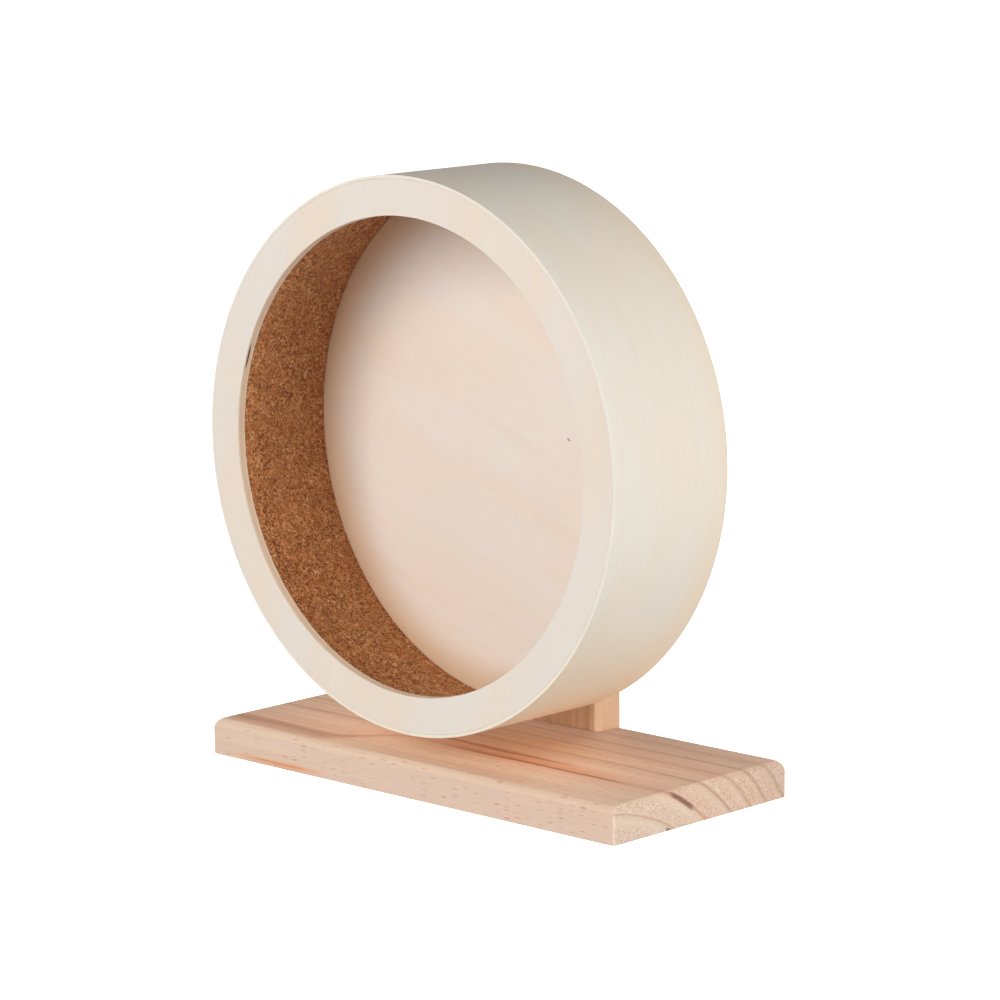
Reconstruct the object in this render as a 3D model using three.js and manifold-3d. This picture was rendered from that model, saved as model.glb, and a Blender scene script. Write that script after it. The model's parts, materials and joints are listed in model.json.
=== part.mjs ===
// A small-pet running wheel: a plywood drum with a cork lining, open at the front, that turns
// on an M8 axle bolt in two ball bearings pressed into an upright on a pine base board.
//
// Millimetres, +Z up. The origin is the middle of the base board's underside. The board lies
// along X, the axle along Y, and the drum's open side faces -Y.

import * as THREE from 'three';
import { mergeVertices } from 'three/addons/utils/BufferGeometryUtils.js';
import Module from 'manifold-3d';

const wasm = await Module();
wasm.setup();

// ---------------------------------------------------------------- driving dimensions

// base board and upright, planed pine
const BOARD_LENGTH = 282;
const BOARD_THICK = 19;
const BOARD_FRONT_MARGIN = 2.4; // board's front edge, ahead of the drum's face
const BOARD_EDGE_ROUND = 4; // round-over of the top edges
const BOARD_CORNER_ROUND = 1.5; // upright corners
const POST_WIDTH = 64;
const POST_THICK = 19;
const POST_ABOVE_AXLE = 36;
const POST_EDGE_ROUND = 2.8;
const POST_TOP_CORNER = 12;

// drum
const RIM_RADIUS = 140;
const RIM_WALL = 1.5;
const DRUM_DEPTH = 82;
const RING_WIDTH = 18.5; // of the ring's face, from the rim to the opening
const RING_PLY = 4.8;
const DISC_PLY = 4.8;
const CORK_THICK = 2;
const CORK_JOINT = 0.4; // gap where the cork strip's two ends meet
const DRUM_FLOOR_GAP = 13; // drum's lowest point, above the board

// hub block behind the disc
const HUB_RADIUS = 45;
const HUB_THICK = 19;
const HUB_EDGE_ROUND = 2;
const HUB_SCREW_COUNT = 4;
const HUB_SCREW_CIRCLE = 30; // radius of the circle that the screws stand on
const HUB_SCREW_SINK = 2; // screw heads lie this deep below the block's face

// M8 axle bolt and its fasteners
const BOLT_RADIUS = 4;
const BOLT_LENGTH = 50; // below the head
const BOLT_TIP_CHAMFER = 1;
const BOLT_HEAD_FLATS = 13;
const BOLT_HEAD_HEIGHT = 5.3;
const NUT_CHAMFER_SLOPE = 0.6; // height over depth of the chamfer on a nut's corners
const NUT_FACE_MARGIN = 0.1; // from a nut's flats in to its round face
const THIN_NUT_FLATS = 13;
const THIN_NUT_HEIGHT = 4;
const STOP_NUT_FLATS = 13;
const STOP_NUT_HEX = 6.2; // height of the hexagon, below the collar
const STOP_NUT_HEIGHT = 8;
const STOP_NUT_COLLAR_RADIUS = 6.1;
const NYLON_RING_RADIUS = 5.5;
const NYLON_RING_THICK = 1.2;
const RACE_WASHER_RADIUS = 5.9;
const RACE_WASHER_THICK = 1.6;

// ball bearing, 8 x 22 x 7
const BEARING_BORE_RADIUS = 4.1;
const BEARING_RADIUS = 11;
const BEARING_WIDTH = 7;
const BEARING_CHAMFER = 0.3;
const BALL_COUNT = 7;
const BALL_RADIUS = 1.985;
const BALL_CIRCLE = 7.5; // radius of the circle through the balls' centres
const INNER_SHOULDER_RADIUS = 6.1;
const OUTER_SHOULDER_RADIUS = 8.9;
const CAGE_WALL = 1.5;
const CAGE_BACK = 2.45; // from the balls' plane to the cage's closed side
const CAGE_FRONT = 1.5; // from the balls' plane to the snap-in side
const SHIELD_THICK = 0.35;
const SHIELD_INSET = 0.3; // from the bearing's face
const SHIELD_BITE = 0.35; // how far the shield reaches into the outer race
const SHIELD_RUNNING_GAP = 0.3; // from the shield's bore to the inner race
const SHIELD_SLOT_LIP = 0.1; // flare of the outer race, outside the shield's groove
const POST_WEB_BORE_RADIUS = 9.3; // bore between the two bearing seats

// wood screws and dowels
const HUB_SCREW = {
  length: 20,
  core: 1.3, // radii of the thread's core, the neck below the head, and the head
  neck: 1.7,
  head: 3.3,
  tip: 3, // length of the point
  crossWidth: 0.9,
  crossReach: 3.6,
  crossDepth: 1.8,
};
const POST_SCREW = {
  length: 50,
  core: 1.5,
  neck: 2,
  head: 4,
  tip: 4,
  crossWidth: 1.1,
  crossReach: 4.4,
  crossDepth: 2.2,
};
const SCREW_CORE_RAMP = 1; // from the thread's core up to the neck's radius
const POST_SCREW_SINK = 0.5;
const POST_SCREW_SPREAD = 14; // either side of the post's middle
const DOWEL_RADIUS = 4;
const DOWEL_LENGTH = 30;
const DOWEL_CHAMFER = 1;
const DOWEL_IN_BOARD = 12;
const DOWEL_FROM_SIDE = 8; // from the post's side to the dowel's middle
const DOWEL_END_GAP = 1;

// clearances
const SEAT_GAP = 0.15; // between faces that rest on each other, and glue lines
const BORE_GAP = 0.2; // radial, round a bolt, dowel or bearing
const BALL_GAP = 0.15; // round each ball
const SCREW_GAP = 0.3; // round a wood screw
const OVERCUT = 1; // how far a cutting tool runs past the face that it opens

// facets on the round pieces
const DRUM_SIDES = 96;
const HUB_SIDES = 48;
const BEARING_SIDES = 28;
const BOLT_SIDES = 24;
const SCREW_SIDES = 12;
const BALL_SIDES = 8;
const BALL_RINGS = 6;
const ROUND_STEPS = 4;
const MIN_FLAT = 0.1; // least flat left on a thin edge between two round-overs
const SHARP_CORNER = 0.01;
const WELD = 1e-4; // corners closer than this are one corner

// ---------------------------------------------------------------- derived places

const ringSeatRadius = RIM_RADIUS - RIM_WALL;
const ringOpeningRadius = ringSeatRadius - RING_WIDTH;
const axleZ = BOARD_THICK + DRUM_FLOOR_GAP + RIM_RADIUS;

// the stack along the axle, measured back from the drum's face
const discBack = DRUM_DEPTH;
const hubFront = discBack + SEAT_GAP;
const hubBack = hubFront + HUB_THICK;
const thinNutFront = hubBack + SEAT_GAP;
const frontWasherFront = thinNutFront + THIN_NUT_HEIGHT + SEAT_GAP;
const postFront = frontWasherFront + RACE_WASHER_THICK + SEAT_GAP;
const postBack = postFront + POST_THICK;
const rearWasherFront = postBack + SEAT_GAP;
const stopNutFront = rearWasherFront + RACE_WASHER_THICK + SEAT_GAP;

const boardWidth = BOARD_FRONT_MARGIN + postBack;
const drumFaceY = BOARD_FRONT_MARGIN - boardWidth / 2;
const postMiddleY = drumFaceY + postFront + POST_THICK / 2;
const postHeight = axleZ - BOARD_THICK + POST_ABOVE_AXLE;

// ---------------------------------------------------------------- finishes

function finish(color, roughness, metalness = 0) {
  return new THREE.MeshStandardMaterial({ color, roughness, metalness });
}

const pine = () => finish(0xd9b08c, 0.62);
const birchPly = () => finish(0xe7ddd2, 0.58);
const corkBrown = () => finish(0x9c6a42, 0.85);
const beech = () => finish(0xd6b184, 0.6);
const zincSteel = () => finish(0xb9bcc0, 0.35, 1);
const bearingSteel = () => finish(0xc9ccd0, 0.2, 1);
const nylon = () => finish(0xe6e9ee, 0.5);

// ---------------------------------------------------------------- shape helpers

// A closed solid from a geometry: only positions are kept, and shared corners are merged.
function solid(geometry) {
  const bare = new THREE.BufferGeometry();
  bare.setAttribute('position', geometry.getAttribute('position').clone());
  if (geometry.index) {
    bare.setIndex(geometry.index.clone());
  }
  const merged = mergeVertices(bare, WELD);
  return new wasm.Manifold(
    new wasm.Mesh({
      numProp: 3,
      vertProperties: new Float32Array(merged.getAttribute('position').array),
      triVerts: new Uint32Array(merged.index.array),
    }),
  );
}

function geometryOf(manifold) {
  const mesh = manifold.getMesh();
  const geometry = new THREE.BufferGeometry();
  geometry.setAttribute('position', new THREE.BufferAttribute(mesh.vertProperties, 3));
  geometry.setIndex(new THREE.BufferAttribute(mesh.triVerts, 1));
  geometry.computeVertexNormals();
  return geometry;
}

function cut(body, ...tools) {
  return tools.reduce((left, tool) => left.subtract(tool), body);
}

// A turned solid about the Y axis. The outline is [radius, y] pairs, with its outer side
// running towards +Y. An outline that starts off the axis is closed on itself.
function turned(outline, sides) {
  const points = outline.map(([radius, y]) => new THREE.Vector2(radius, y));
  if (outline[0][0] > 0) {
    points.push(points[0].clone());
  }
  return new THREE.LatheGeometry(points, sides);
}

function turnedSolid(outline, sides) {
  return solid(turned(outline, sides));
}

// A plain ring between two radii and two places along Y.
function ringOutline(inner, outer, from, to) {
  return [
    [inner, from],
    [outer, from],
    [outer, to],
    [inner, to],
  ];
}

function rodOutline(radius, from, to) {
  return [
    [0, from],
    [radius, from],
    [radius, to],
    [0, to],
  ];
}

// A plain rod along Y, as a solid.
function rod(radius, from, to, sides) {
  return turnedSolid(rodOutline(radius, from, to), sides);
}

// The rod that bores a hole right through, from one face to another.
function drill(radius, from, to, sides) {
  return rod(radius, from - OVERCUT, to + OVERCUT, sides);
}

// A rod along Y with a small chamfer at its two ends.
function chamferedRod(radius, from, to, chamfer, sides) {
  return turned(
    [
      [0, from],
      [radius - chamfer, from],
      [radius, from + chamfer],
      [radius, to - chamfer],
      [radius - chamfer, to],
      [0, to],
    ],
    sides,
  );
}

// Points of a circular arc in a [radius, y] outline.
function arc(centreRadius, centreY, arcRadius, fromAngle, toAngle, steps) {
  const turn = (toAngle - fromAngle) / steps;
  const angles = Array.from({ length: steps + 1 }, (_, i) => fromAngle + turn * i);
  return angles.map((a) => [centreRadius + arcRadius * Math.cos(a), centreY + arcRadius * Math.sin(a)]);
}

function box(sizeX, sizeY, sizeZ, x, y, z) {
  return solid(new THREE.BoxGeometry(sizeX, sizeY, sizeZ).translate(x, y, z));
}

// A hexagonal prism along Y, between two places, given its width across flats.
function hexPrism(flats, from, to) {
  const corners = flats / Math.sqrt(3);
  const prism = new THREE.CylinderGeometry(corners, corners, to - from, 6);
  return solid(prism.translate(0, (from + to) / 2, 0));
}

// The cone pair that takes the corners off both faces of a hexagon nut.
function nutChamferTool(flats, from, to) {
  const flat = flats / 2;
  const corner = flats / Math.sqrt(3);
  const face = flat - NUT_FACE_MARGIN;
  const reach = corner + NUT_FACE_MARGIN;
  const slope = (corner - flat) * NUT_CHAMFER_SLOPE;
  return turnedSolid(
    [
      [0, from],
      [face, from],
      [reach, from + slope],
      [reach, to - slope],
      [face, to],
      [0, to],
    ],
    BOLT_SIDES,
  );
}

// A rectangle with rounded corners, centred on the origin.
function roundedRectangle(width, height, radius) {
  const shape = new THREE.Shape();
  const x = width / 2;
  const y = height / 2;
  shape.moveTo(-x + radius, -y);
  shape.lineTo(x - radius, -y);
  shape.absarc(x - radius, -y + radius, radius, -Math.PI / 2, 0);
  shape.lineTo(x, y - radius);
  shape.absarc(x - radius, y - radius, radius, 0, Math.PI / 2);
  shape.lineTo(-x + radius, y);
  shape.absarc(-x + radius, y - radius, radius, Math.PI / 2, Math.PI);
  shape.lineTo(-x, -y + radius);
  shape.absarc(-x + radius, -y + radius, radius, Math.PI, 1.5 * Math.PI);
  return shape;
}

// A board with the edges of both its faces rounded over, standing on z = 0. The width and
// height are its full size, and its four corners are rounded by themselves.
function roundedBoard(width, height, thick, edgeRound, cornerRound) {
  const inset = Math.min(edgeRound, (thick - MIN_FLAT) / 2);
  const coreCorner = Math.max(cornerRound - inset, SHARP_CORNER);
  const core = roundedRectangle(width - 2 * inset, height - 2 * inset, coreCorner);
  const rounded = new THREE.ExtrudeGeometry(core, {
    depth: thick - 2 * inset,
    bevelEnabled: true,
    bevelThickness: inset,
    bevelSize: inset,
    bevelSegments: ROUND_STEPS,
    curveSegments: ROUND_STEPS,
  }).translate(0, 0, inset);
  const outline = new THREE.ExtrudeGeometry(roundedRectangle(width, height, cornerRound), {
    depth: thick,
    bevelEnabled: false,
    curveSegments: ROUND_STEPS,
  });
  return solid(rounded).intersect(solid(outline));
}

// ---------------------------------------------------------------- scene graph helpers

const part = new THREE.Group();
const stand = new THREE.Group();
const drum = new THREE.Group();
part.add(stand, drum);

// Everything on the axle is modelled about the Y axis, with Y = 0 at the drum's face.
const axleLine = new THREE.Group();
axleLine.position.set(0, drumFaceY, axleZ);
drum.position.copy(axleLine.position);
stand.add(axleLine);

function place(group, name, geometry, material, x = 0, y = 0, z = 0) {
  const mesh = new THREE.Mesh(geometry, material);
  mesh.name = name;
  mesh.position.set(x, y, z);
  group.add(mesh);
  return mesh;
}

// ---------------------------------------------------------------- wood screws and dowels

// A countersunk wood screw along +Z, its head's flat face at z = 0 and its tip at -length.
function screwOutline(screw, gap = 0) {
  const headDepth = screw.head - screw.neck;
  return [
    [0, -screw.length - gap],
    [screw.core + gap, -screw.length + screw.tip],
    [screw.neck + gap, -screw.length + screw.tip + SCREW_CORE_RAMP],
    [screw.neck + gap, -headDepth - gap],
    [screw.head + gap, -gap],
    [screw.head + gap, 0],
    [0, 0],
  ];
}

function uprightTurned(outline, sides) {
  return turned(outline, sides).rotateX(Math.PI / 2);
}

function woodScrew(screw) {
  const body = solid(uprightTurned(screwOutline(screw), SCREW_SIDES));
  const { crossReach, crossWidth, crossDepth } = screw;
  const slot = box(crossReach, crossWidth, 2 * crossDepth, 0, 0, 0);
  const crossSlot = box(crossWidth, crossReach, 2 * crossDepth, 0, 0, 0);
  return cut(body, slot, crossSlot);
}

// The hole that a screw stands in: its own shape with a gap round it, open at the head.
function screwHole(screw, sink) {
  const hole = solid(uprightTurned(screwOutline(screw, SCREW_GAP), SCREW_SIDES));
  const mouthOutline = rodOutline(screw.head + SCREW_GAP, -SCREW_GAP, sink + OVERCUT);
  return hole.add(solid(uprightTurned(mouthOutline, SCREW_SIDES)));
}

// ---------------------------------------------------------------- stand

const postScrewX = [-POST_SCREW_SPREAD, POST_SCREW_SPREAD];
const dowelSpread = POST_WIDTH / 2 - DOWEL_FROM_SIDE;
const dowelX = [-dowelSpread, dowelSpread];
const sideNames = ['left', 'right'];
const dowelBottom = BOARD_THICK - DOWEL_IN_BOARD;
const dowelMiddle = dowelBottom + DOWEL_LENGTH / 2;

function upsideDown(manifold) {
  return manifold.rotate([180, 0, 0]);
}

function postScrewHoles() {
  const hole = upsideDown(screwHole(POST_SCREW, POST_SCREW_SINK));
  return postScrewX.map((x) => hole.translate([x, postMiddleY, POST_SCREW_SINK]));
}

function dowelHoles() {
  const half = DOWEL_LENGTH / 2 + DOWEL_END_GAP;
  const hole = solid(uprightTurned(rodOutline(DOWEL_RADIUS + BORE_GAP, -half, half), BOLT_SIDES));
  return dowelX.map((x) => hole.translate([x, postMiddleY, dowelMiddle]));
}

function baseBoard() {
  // rounded on both faces, twice as thick as needed, then sawn off to leave a crisp underside
  const blank = roundedBoard(
    BOARD_LENGTH,
    boardWidth,
    BOARD_THICK + 2 * BOARD_EDGE_ROUND,
    BOARD_EDGE_ROUND,
    BOARD_CORNER_ROUND,
  );
  const board = blank.translate([0, 0, -2 * BOARD_EDGE_ROUND]);
  const spare = 2 * BOARD_EDGE_ROUND + OVERCUT;
  const below = box(BOARD_LENGTH + 2 * OVERCUT, boardWidth + 2 * OVERCUT, spare, 0, 0, -spare / 2);
  return cut(board, below, ...postScrewHoles(), ...dowelHoles());
}

function uprightPost() {
  const footCut = BOARD_EDGE_ROUND + POST_TOP_CORNER;
  const blankHeight = postHeight + footCut;
  const blank = roundedBoard(POST_WIDTH, blankHeight, POST_THICK, POST_EDGE_ROUND, POST_TOP_CORNER);
  const postFoot = BOARD_THICK + SEAT_GAP;
  const middleZ = postFoot + postHeight - blankHeight / 2;
  const post = blank.rotate([90, 0, 0]).translate([0, postMiddleY + POST_THICK / 2, middleZ]);
  const spare = footCut + BOARD_THICK;
  const sawX = POST_WIDTH + 2 * OVERCUT;
  const below = box(sawX, POST_THICK + 2 * OVERCUT, spare, 0, postMiddleY, postFoot - spare / 2);

  // bearing seats from both faces, and the wider web bore between them
  const seatRadius = BEARING_RADIUS + BORE_GAP;
  const front = drumFaceY + postFront;
  const back = drumFaceY + postBack;
  const seatDepth = BEARING_WIDTH + SEAT_GAP;
  const frontSeat = rod(seatRadius, front - OVERCUT, front + seatDepth, BEARING_SIDES);
  const rearSeat = rod(seatRadius, back - seatDepth, back + OVERCUT, BEARING_SIDES);
  const web = rod(POST_WEB_BORE_RADIUS, front, back, BEARING_SIDES);
  const bores = frontSeat.add(rearSeat).add(web).translate([0, 0, axleZ]);
  return cut(post, below, bores, ...postScrewHoles(), ...dowelHoles());
}

place(stand, 'base_board', geometryOf(baseBoard()), pine());
place(stand, 'upright_post', geometryOf(uprightPost()), pine());

sideNames.forEach((side, i) => {
  const half = DOWEL_LENGTH / 2;
  const dowel = chamferedRod(DOWEL_RADIUS, -half, half, DOWEL_CHAMFER, BOLT_SIDES);
  dowel.rotateX(Math.PI / 2);
  place(stand, `post_dowel_${side}`, dowel, beech(), dowelX[i], postMiddleY, dowelMiddle);

  const screw = geometryOf(upsideDown(woodScrew(POST_SCREW)));
  place(stand, `post_screw_${side}`, screw, zincSteel(), postScrewX[i], postMiddleY, POST_SCREW_SINK);
});

// ---------------------------------------------------------------- drum

// the thin strip, bent to a hoop and glued along a long scarf
place(
  drum,
  'rim_shell',
  turned(ringOutline(ringSeatRadius, RIM_RADIUS, 0, DRUM_DEPTH), DRUM_SIDES),
  birchPly(),
);

const woodFitRadius = ringSeatRadius - SEAT_GAP;

place(
  drum,
  'front_ring',
  turned(ringOutline(ringOpeningRadius, woodFitRadius, 0, RING_PLY), DRUM_SIDES),
  birchPly(),
);

// the lining fills the drum between the ring and the disc, with a butt joint at the top
function corkLining() {
  const from = RING_PLY + SEAT_GAP;
  const to = DRUM_DEPTH - DISC_PLY - SEAT_GAP;
  const hoop = turnedSolid(ringOutline(woodFitRadius - CORK_THICK, woodFitRadius, from, to), DRUM_SIDES);
  return cut(hoop, box(CORK_JOINT, 2 * DRUM_DEPTH, 4 * CORK_THICK, 0, DRUM_DEPTH / 2, woodFitRadius));
}

place(drum, 'cork_lining', geometryOf(corkLining()), corkBrown());

// ---------------------------------------------------------------- hub

const hubScrewAngles = Array.from(
  { length: HUB_SCREW_COUNT },
  (_, i) => ((i + 0.5) * 2 * Math.PI) / HUB_SCREW_COUNT,
);
const hubScrewFace = hubBack - HUB_SCREW_SINK;

// turns a +Z piece to point along +Y, which is the way that the hub's screws face
function facingBack(manifold) {
  return manifold.rotate([-90, 0, 0]);
}

function hubScrewPlace(angle) {
  return [HUB_SCREW_CIRCLE * Math.cos(angle), hubScrewFace, HUB_SCREW_CIRCLE * Math.sin(angle)];
}

function hubScrewHoles() {
  const hole = facingBack(screwHole(HUB_SCREW, HUB_SCREW_SINK));
  return hubScrewAngles.map((angle) => hole.translate(hubScrewPlace(angle)));
}

function backDisc() {
  const disc = rod(woodFitRadius, discBack - DISC_PLY, discBack, DRUM_SIDES);
  return cut(disc, ...hubScrewHoles());
}

function hubBlock() {
  const round = HUB_EDGE_ROUND;
  const corner = arc(HUB_RADIUS - round, hubBack - round, round, 0, Math.PI / 2, ROUND_STEPS);
  const block = turnedSolid([[0, hubFront], [HUB_RADIUS, hubFront], ...corner, [0, hubBack]], HUB_SIDES);
  const bore = drill(BOLT_RADIUS + BORE_GAP, hubFront, hubBack, BOLT_SIDES);
  const pocketDepth = BOLT_HEAD_HEIGHT + 2 * SEAT_GAP;
  const pocketFlats = BOLT_HEAD_FLATS + 2 * BORE_GAP;
  const pocket = hexPrism(pocketFlats, hubFront - OVERCUT, hubFront + pocketDepth);
  return cut(block, bore, pocket, ...hubScrewHoles());
}

place(drum, 'back_disc', geometryOf(backDisc()), birchPly());
place(drum, 'hub_block', geometryOf(hubBlock()), pine());

hubScrewAngles.forEach((angle, i) => {
  const screw = geometryOf(facingBack(woodScrew(HUB_SCREW)));
  place(drum, `hub_screw_${i + 1}`, screw, zincSteel(), ...hubScrewPlace(angle));
});

// ---------------------------------------------------------------- axle bolt and fasteners

const headFront = hubFront + SEAT_GAP;
const headBack = headFront + BOLT_HEAD_HEIGHT;
const boltTip = headBack + BOLT_LENGTH;
const fitRadius = BOLT_RADIUS + BORE_GAP / 2;

function axleBolt() {
  const corners = nutChamferTool(BOLT_HEAD_FLATS, headFront, headBack + BOLT_HEAD_HEIGHT);
  const head = hexPrism(BOLT_HEAD_FLATS, headFront, headBack).intersect(corners);
  const shank = chamferedRod(BOLT_RADIUS, headFront + OVERCUT, boltTip, BOLT_TIP_CHAMFER, BOLT_SIDES);
  return head.add(solid(shank));
}

function thinNut() {
  const to = thinNutFront + THIN_NUT_HEIGHT;
  const corners = nutChamferTool(THIN_NUT_FLATS, thinNutFront, to);
  const hex = hexPrism(THIN_NUT_FLATS, thinNutFront, to).intersect(corners);
  return cut(hex, drill(fitRadius, thinNutFront, to, BOLT_SIDES));
}

const nylonFrom = stopNutFront + STOP_NUT_HEX + SEAT_GAP;

function stopNut() {
  const hexTo = stopNutFront + STOP_NUT_HEX;
  const to = stopNutFront + STOP_NUT_HEIGHT;
  const corners = nutChamferTool(STOP_NUT_FLATS, stopNutFront, hexTo);
  const hex = hexPrism(STOP_NUT_FLATS, stopNutFront, hexTo).intersect(corners);
  const collar = rod(STOP_NUT_COLLAR_RADIUS, hexTo - OVERCUT, to, BOLT_SIDES);
  const bore = drill(fitRadius, stopNutFront, to, BOLT_SIDES);
  const pocket = rod(NYLON_RING_RADIUS + SEAT_GAP, hexTo, to + OVERCUT, BOLT_SIDES);
  return cut(hex.add(collar), bore, pocket);
}

function axleSleeve(from, to) {
  return turned(ringOutline(fitRadius, RACE_WASHER_RADIUS, from, to), BEARING_SIDES);
}

function raceWasher(from) {
  return axleSleeve(from, from + RACE_WASHER_THICK);
}

place(drum, 'axle_bolt', geometryOf(axleBolt()), zincSteel());
place(drum, 'thin_lock_nut', geometryOf(thinNut()), zincSteel());
place(drum, 'front_race_washer', raceWasher(frontWasherFront), zincSteel());
place(drum, 'rear_race_washer', raceWasher(rearWasherFront), zincSteel());
place(drum, 'stop_nut', geometryOf(stopNut()), zincSteel());
place(
  drum,
  'stop_nut_nylon_ring',
  turned(ringOutline(fitRadius, NYLON_RING_RADIUS, nylonFrom, nylonFrom + NYLON_RING_THICK), BOLT_SIDES),
  nylon(),
);

// ---------------------------------------------------------------- ball bearings

const halfWidth = BEARING_WIDTH / 2;
const grooveRadius = BALL_RADIUS + BALL_GAP;
const shieldSlotFrom = halfWidth - SHIELD_INSET - SHIELD_THICK - SEAT_GAP / 2;
const shieldSlotTo = halfWidth - SHIELD_INSET + SEAT_GAP / 2;
const shieldSlotRadius = OUTER_SHOULDER_RADIUS + SHIELD_BITE + SEAT_GAP;

// angle at which the ball groove meets a shoulder, seen from the ball's centre
function grooveAngle(shoulderRadius) {
  return Math.acos(Math.abs(shoulderRadius - BALL_CIRCLE) / grooveRadius);
}

function innerRace() {
  const angle = grooveAngle(INNER_SHOULDER_RADIUS);
  const groove = arc(BALL_CIRCLE, 0, grooveRadius, Math.PI + angle, Math.PI - angle, ROUND_STEPS);
  return turned(
    [
      [BEARING_BORE_RADIUS, -halfWidth],
      [INNER_SHOULDER_RADIUS, -halfWidth],
      ...groove,
      [INNER_SHOULDER_RADIUS, halfWidth],
      [BEARING_BORE_RADIUS, halfWidth],
    ],
    BEARING_SIDES,
  );
}

// half of the outer race's inner side, from the groove out to the face, for y above 0
function shieldSlot() {
  return [
    [OUTER_SHOULDER_RADIUS, shieldSlotFrom],
    [shieldSlotRadius, shieldSlotFrom],
    [shieldSlotRadius, shieldSlotTo],
    [OUTER_SHOULDER_RADIUS + SHIELD_SLOT_LIP, halfWidth],
  ];
}

function outerRace() {
  const angle = grooveAngle(OUTER_SHOULDER_RADIUS);
  const groove = arc(BALL_CIRCLE, 0, grooveRadius, angle, -angle, ROUND_STEPS);
  const below = shieldSlot().map(([radius, y]) => [radius, -y]);
  return turned(
    [
      [BEARING_RADIUS - BEARING_CHAMFER, -halfWidth],
      [BEARING_RADIUS, -halfWidth + BEARING_CHAMFER],
      [BEARING_RADIUS, halfWidth - BEARING_CHAMFER],
      [BEARING_RADIUS - BEARING_CHAMFER, halfWidth],
      ...shieldSlot().reverse(),
      ...groove,
      ...below,
    ],
    BEARING_SIDES,
  );
}

function ball() {
  return new THREE.SphereGeometry(BALL_RADIUS, BALL_SIDES, BALL_RINGS);
}

function ballPlace(index) {
  const angle = (index * 2 * Math.PI) / BALL_COUNT;
  return [BALL_CIRCLE * Math.cos(angle), 0, BALL_CIRCLE * Math.sin(angle)];
}

// a snap-in cage: a ring with a pocket for each ball, closed on one side and open on the other
function cage() {
  const inner = BALL_CIRCLE - CAGE_WALL / 2;
  const outer = BALL_CIRCLE + CAGE_WALL / 2;
  const ring = turnedSolid(ringOutline(inner, outer, -CAGE_BACK, CAGE_FRONT), BEARING_SIDES);
  const pocket = solid(new THREE.SphereGeometry(grooveRadius, BALL_SIDES, BALL_RINGS));
  const pockets = Array.from({ length: BALL_COUNT }, (_, i) => pocket.translate(ballPlace(i)));
  return cut(ring, ...pockets);
}

function shield(side) {
  const inner = INNER_SHOULDER_RADIUS + SHIELD_RUNNING_GAP;
  const outer = OUTER_SHOULDER_RADIUS + SHIELD_BITE;
  const half = SHIELD_THICK / 2;
  const middle = side * (halfWidth - SHIELD_INSET - half);
  return turned(ringOutline(inner, outer, middle - half, middle + half), BEARING_SIDES);
}

const bearings = [
  { name: 'front', middle: postFront + halfWidth },
  { name: 'rear', middle: postBack - halfWidth },
];

for (const { name, middle } of bearings) {
  place(axleLine, `${name}_outer_race`, outerRace(), bearingSteel(), 0, middle);
  place(axleLine, `${name}_shield_outward`, shield(name === 'front' ? -1 : 1), bearingSteel(), 0, middle);
  place(axleLine, `${name}_shield_inward`, shield(name === 'front' ? 1 : -1), bearingSteel(), 0, middle);
  place(axleLine, `${name}_ball_cage`, geometryOf(cage()), nylon(), 0, middle);
  for (let i = 0; i < BALL_COUNT; i += 1) {
    const [x, , z] = ballPlace(i);
    place(axleLine, `${name}_ball_${i + 1}`, ball(), bearingSteel(), x, middle, z);
  }
  place(drum, `${name}_inner_race`, innerRace(), bearingSteel(), 0, middle);
}

const spacerFrom = postFront + BEARING_WIDTH + SEAT_GAP;
const spacerTo = postBack - BEARING_WIDTH - SEAT_GAP;
place(drum, 'inner_race_spacer', axleSleeve(spacerFrom, spacerTo), zincSteel());

export default part;
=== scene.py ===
"""The looks of a small-pet running wheel: a plywood drum lined with pressed cork, on an M8 axle
bolt in two ball bearings, in a pine upright on a pine base board.

Metres, +Z up. The base board lies along X, the axle along Y, and the drum's open side faces -Y.
"""

from dataclasses import dataclass
import json
import math

import bmesh
import bpy
from mathutils import Matrix, Vector

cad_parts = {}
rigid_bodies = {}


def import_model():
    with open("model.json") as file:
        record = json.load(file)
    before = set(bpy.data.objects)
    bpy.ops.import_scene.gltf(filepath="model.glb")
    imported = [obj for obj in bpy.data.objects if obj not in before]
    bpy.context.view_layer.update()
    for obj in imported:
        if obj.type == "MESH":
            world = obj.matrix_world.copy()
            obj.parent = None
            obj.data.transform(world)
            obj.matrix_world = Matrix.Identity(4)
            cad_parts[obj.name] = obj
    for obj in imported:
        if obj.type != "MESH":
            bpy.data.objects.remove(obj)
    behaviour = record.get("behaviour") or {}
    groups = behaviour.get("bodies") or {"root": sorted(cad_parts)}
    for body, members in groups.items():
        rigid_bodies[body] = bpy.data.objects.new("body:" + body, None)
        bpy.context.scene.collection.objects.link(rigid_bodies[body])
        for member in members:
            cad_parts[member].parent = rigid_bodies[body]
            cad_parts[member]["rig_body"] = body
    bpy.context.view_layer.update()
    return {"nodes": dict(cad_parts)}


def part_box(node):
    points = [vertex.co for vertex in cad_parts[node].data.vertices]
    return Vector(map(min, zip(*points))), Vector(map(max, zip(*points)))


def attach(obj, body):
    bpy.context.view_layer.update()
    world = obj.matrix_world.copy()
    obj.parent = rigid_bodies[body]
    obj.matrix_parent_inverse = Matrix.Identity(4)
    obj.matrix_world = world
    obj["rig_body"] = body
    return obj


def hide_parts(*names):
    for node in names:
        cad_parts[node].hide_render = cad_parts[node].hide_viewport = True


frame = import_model()

# ---------------------------------------------------------------- sizes

MM = 0.001
FULL_TURN = 2 * math.pi
WELD = 0.01 * MM


def along_axle(node):
    """Where a node starts and ends along the axle."""
    low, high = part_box(node)
    return low.y, high.y


def radius_of(node):
    """A round node's radius about the axle."""
    low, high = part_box(node)
    return (high.z - low.z) / 2


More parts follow.
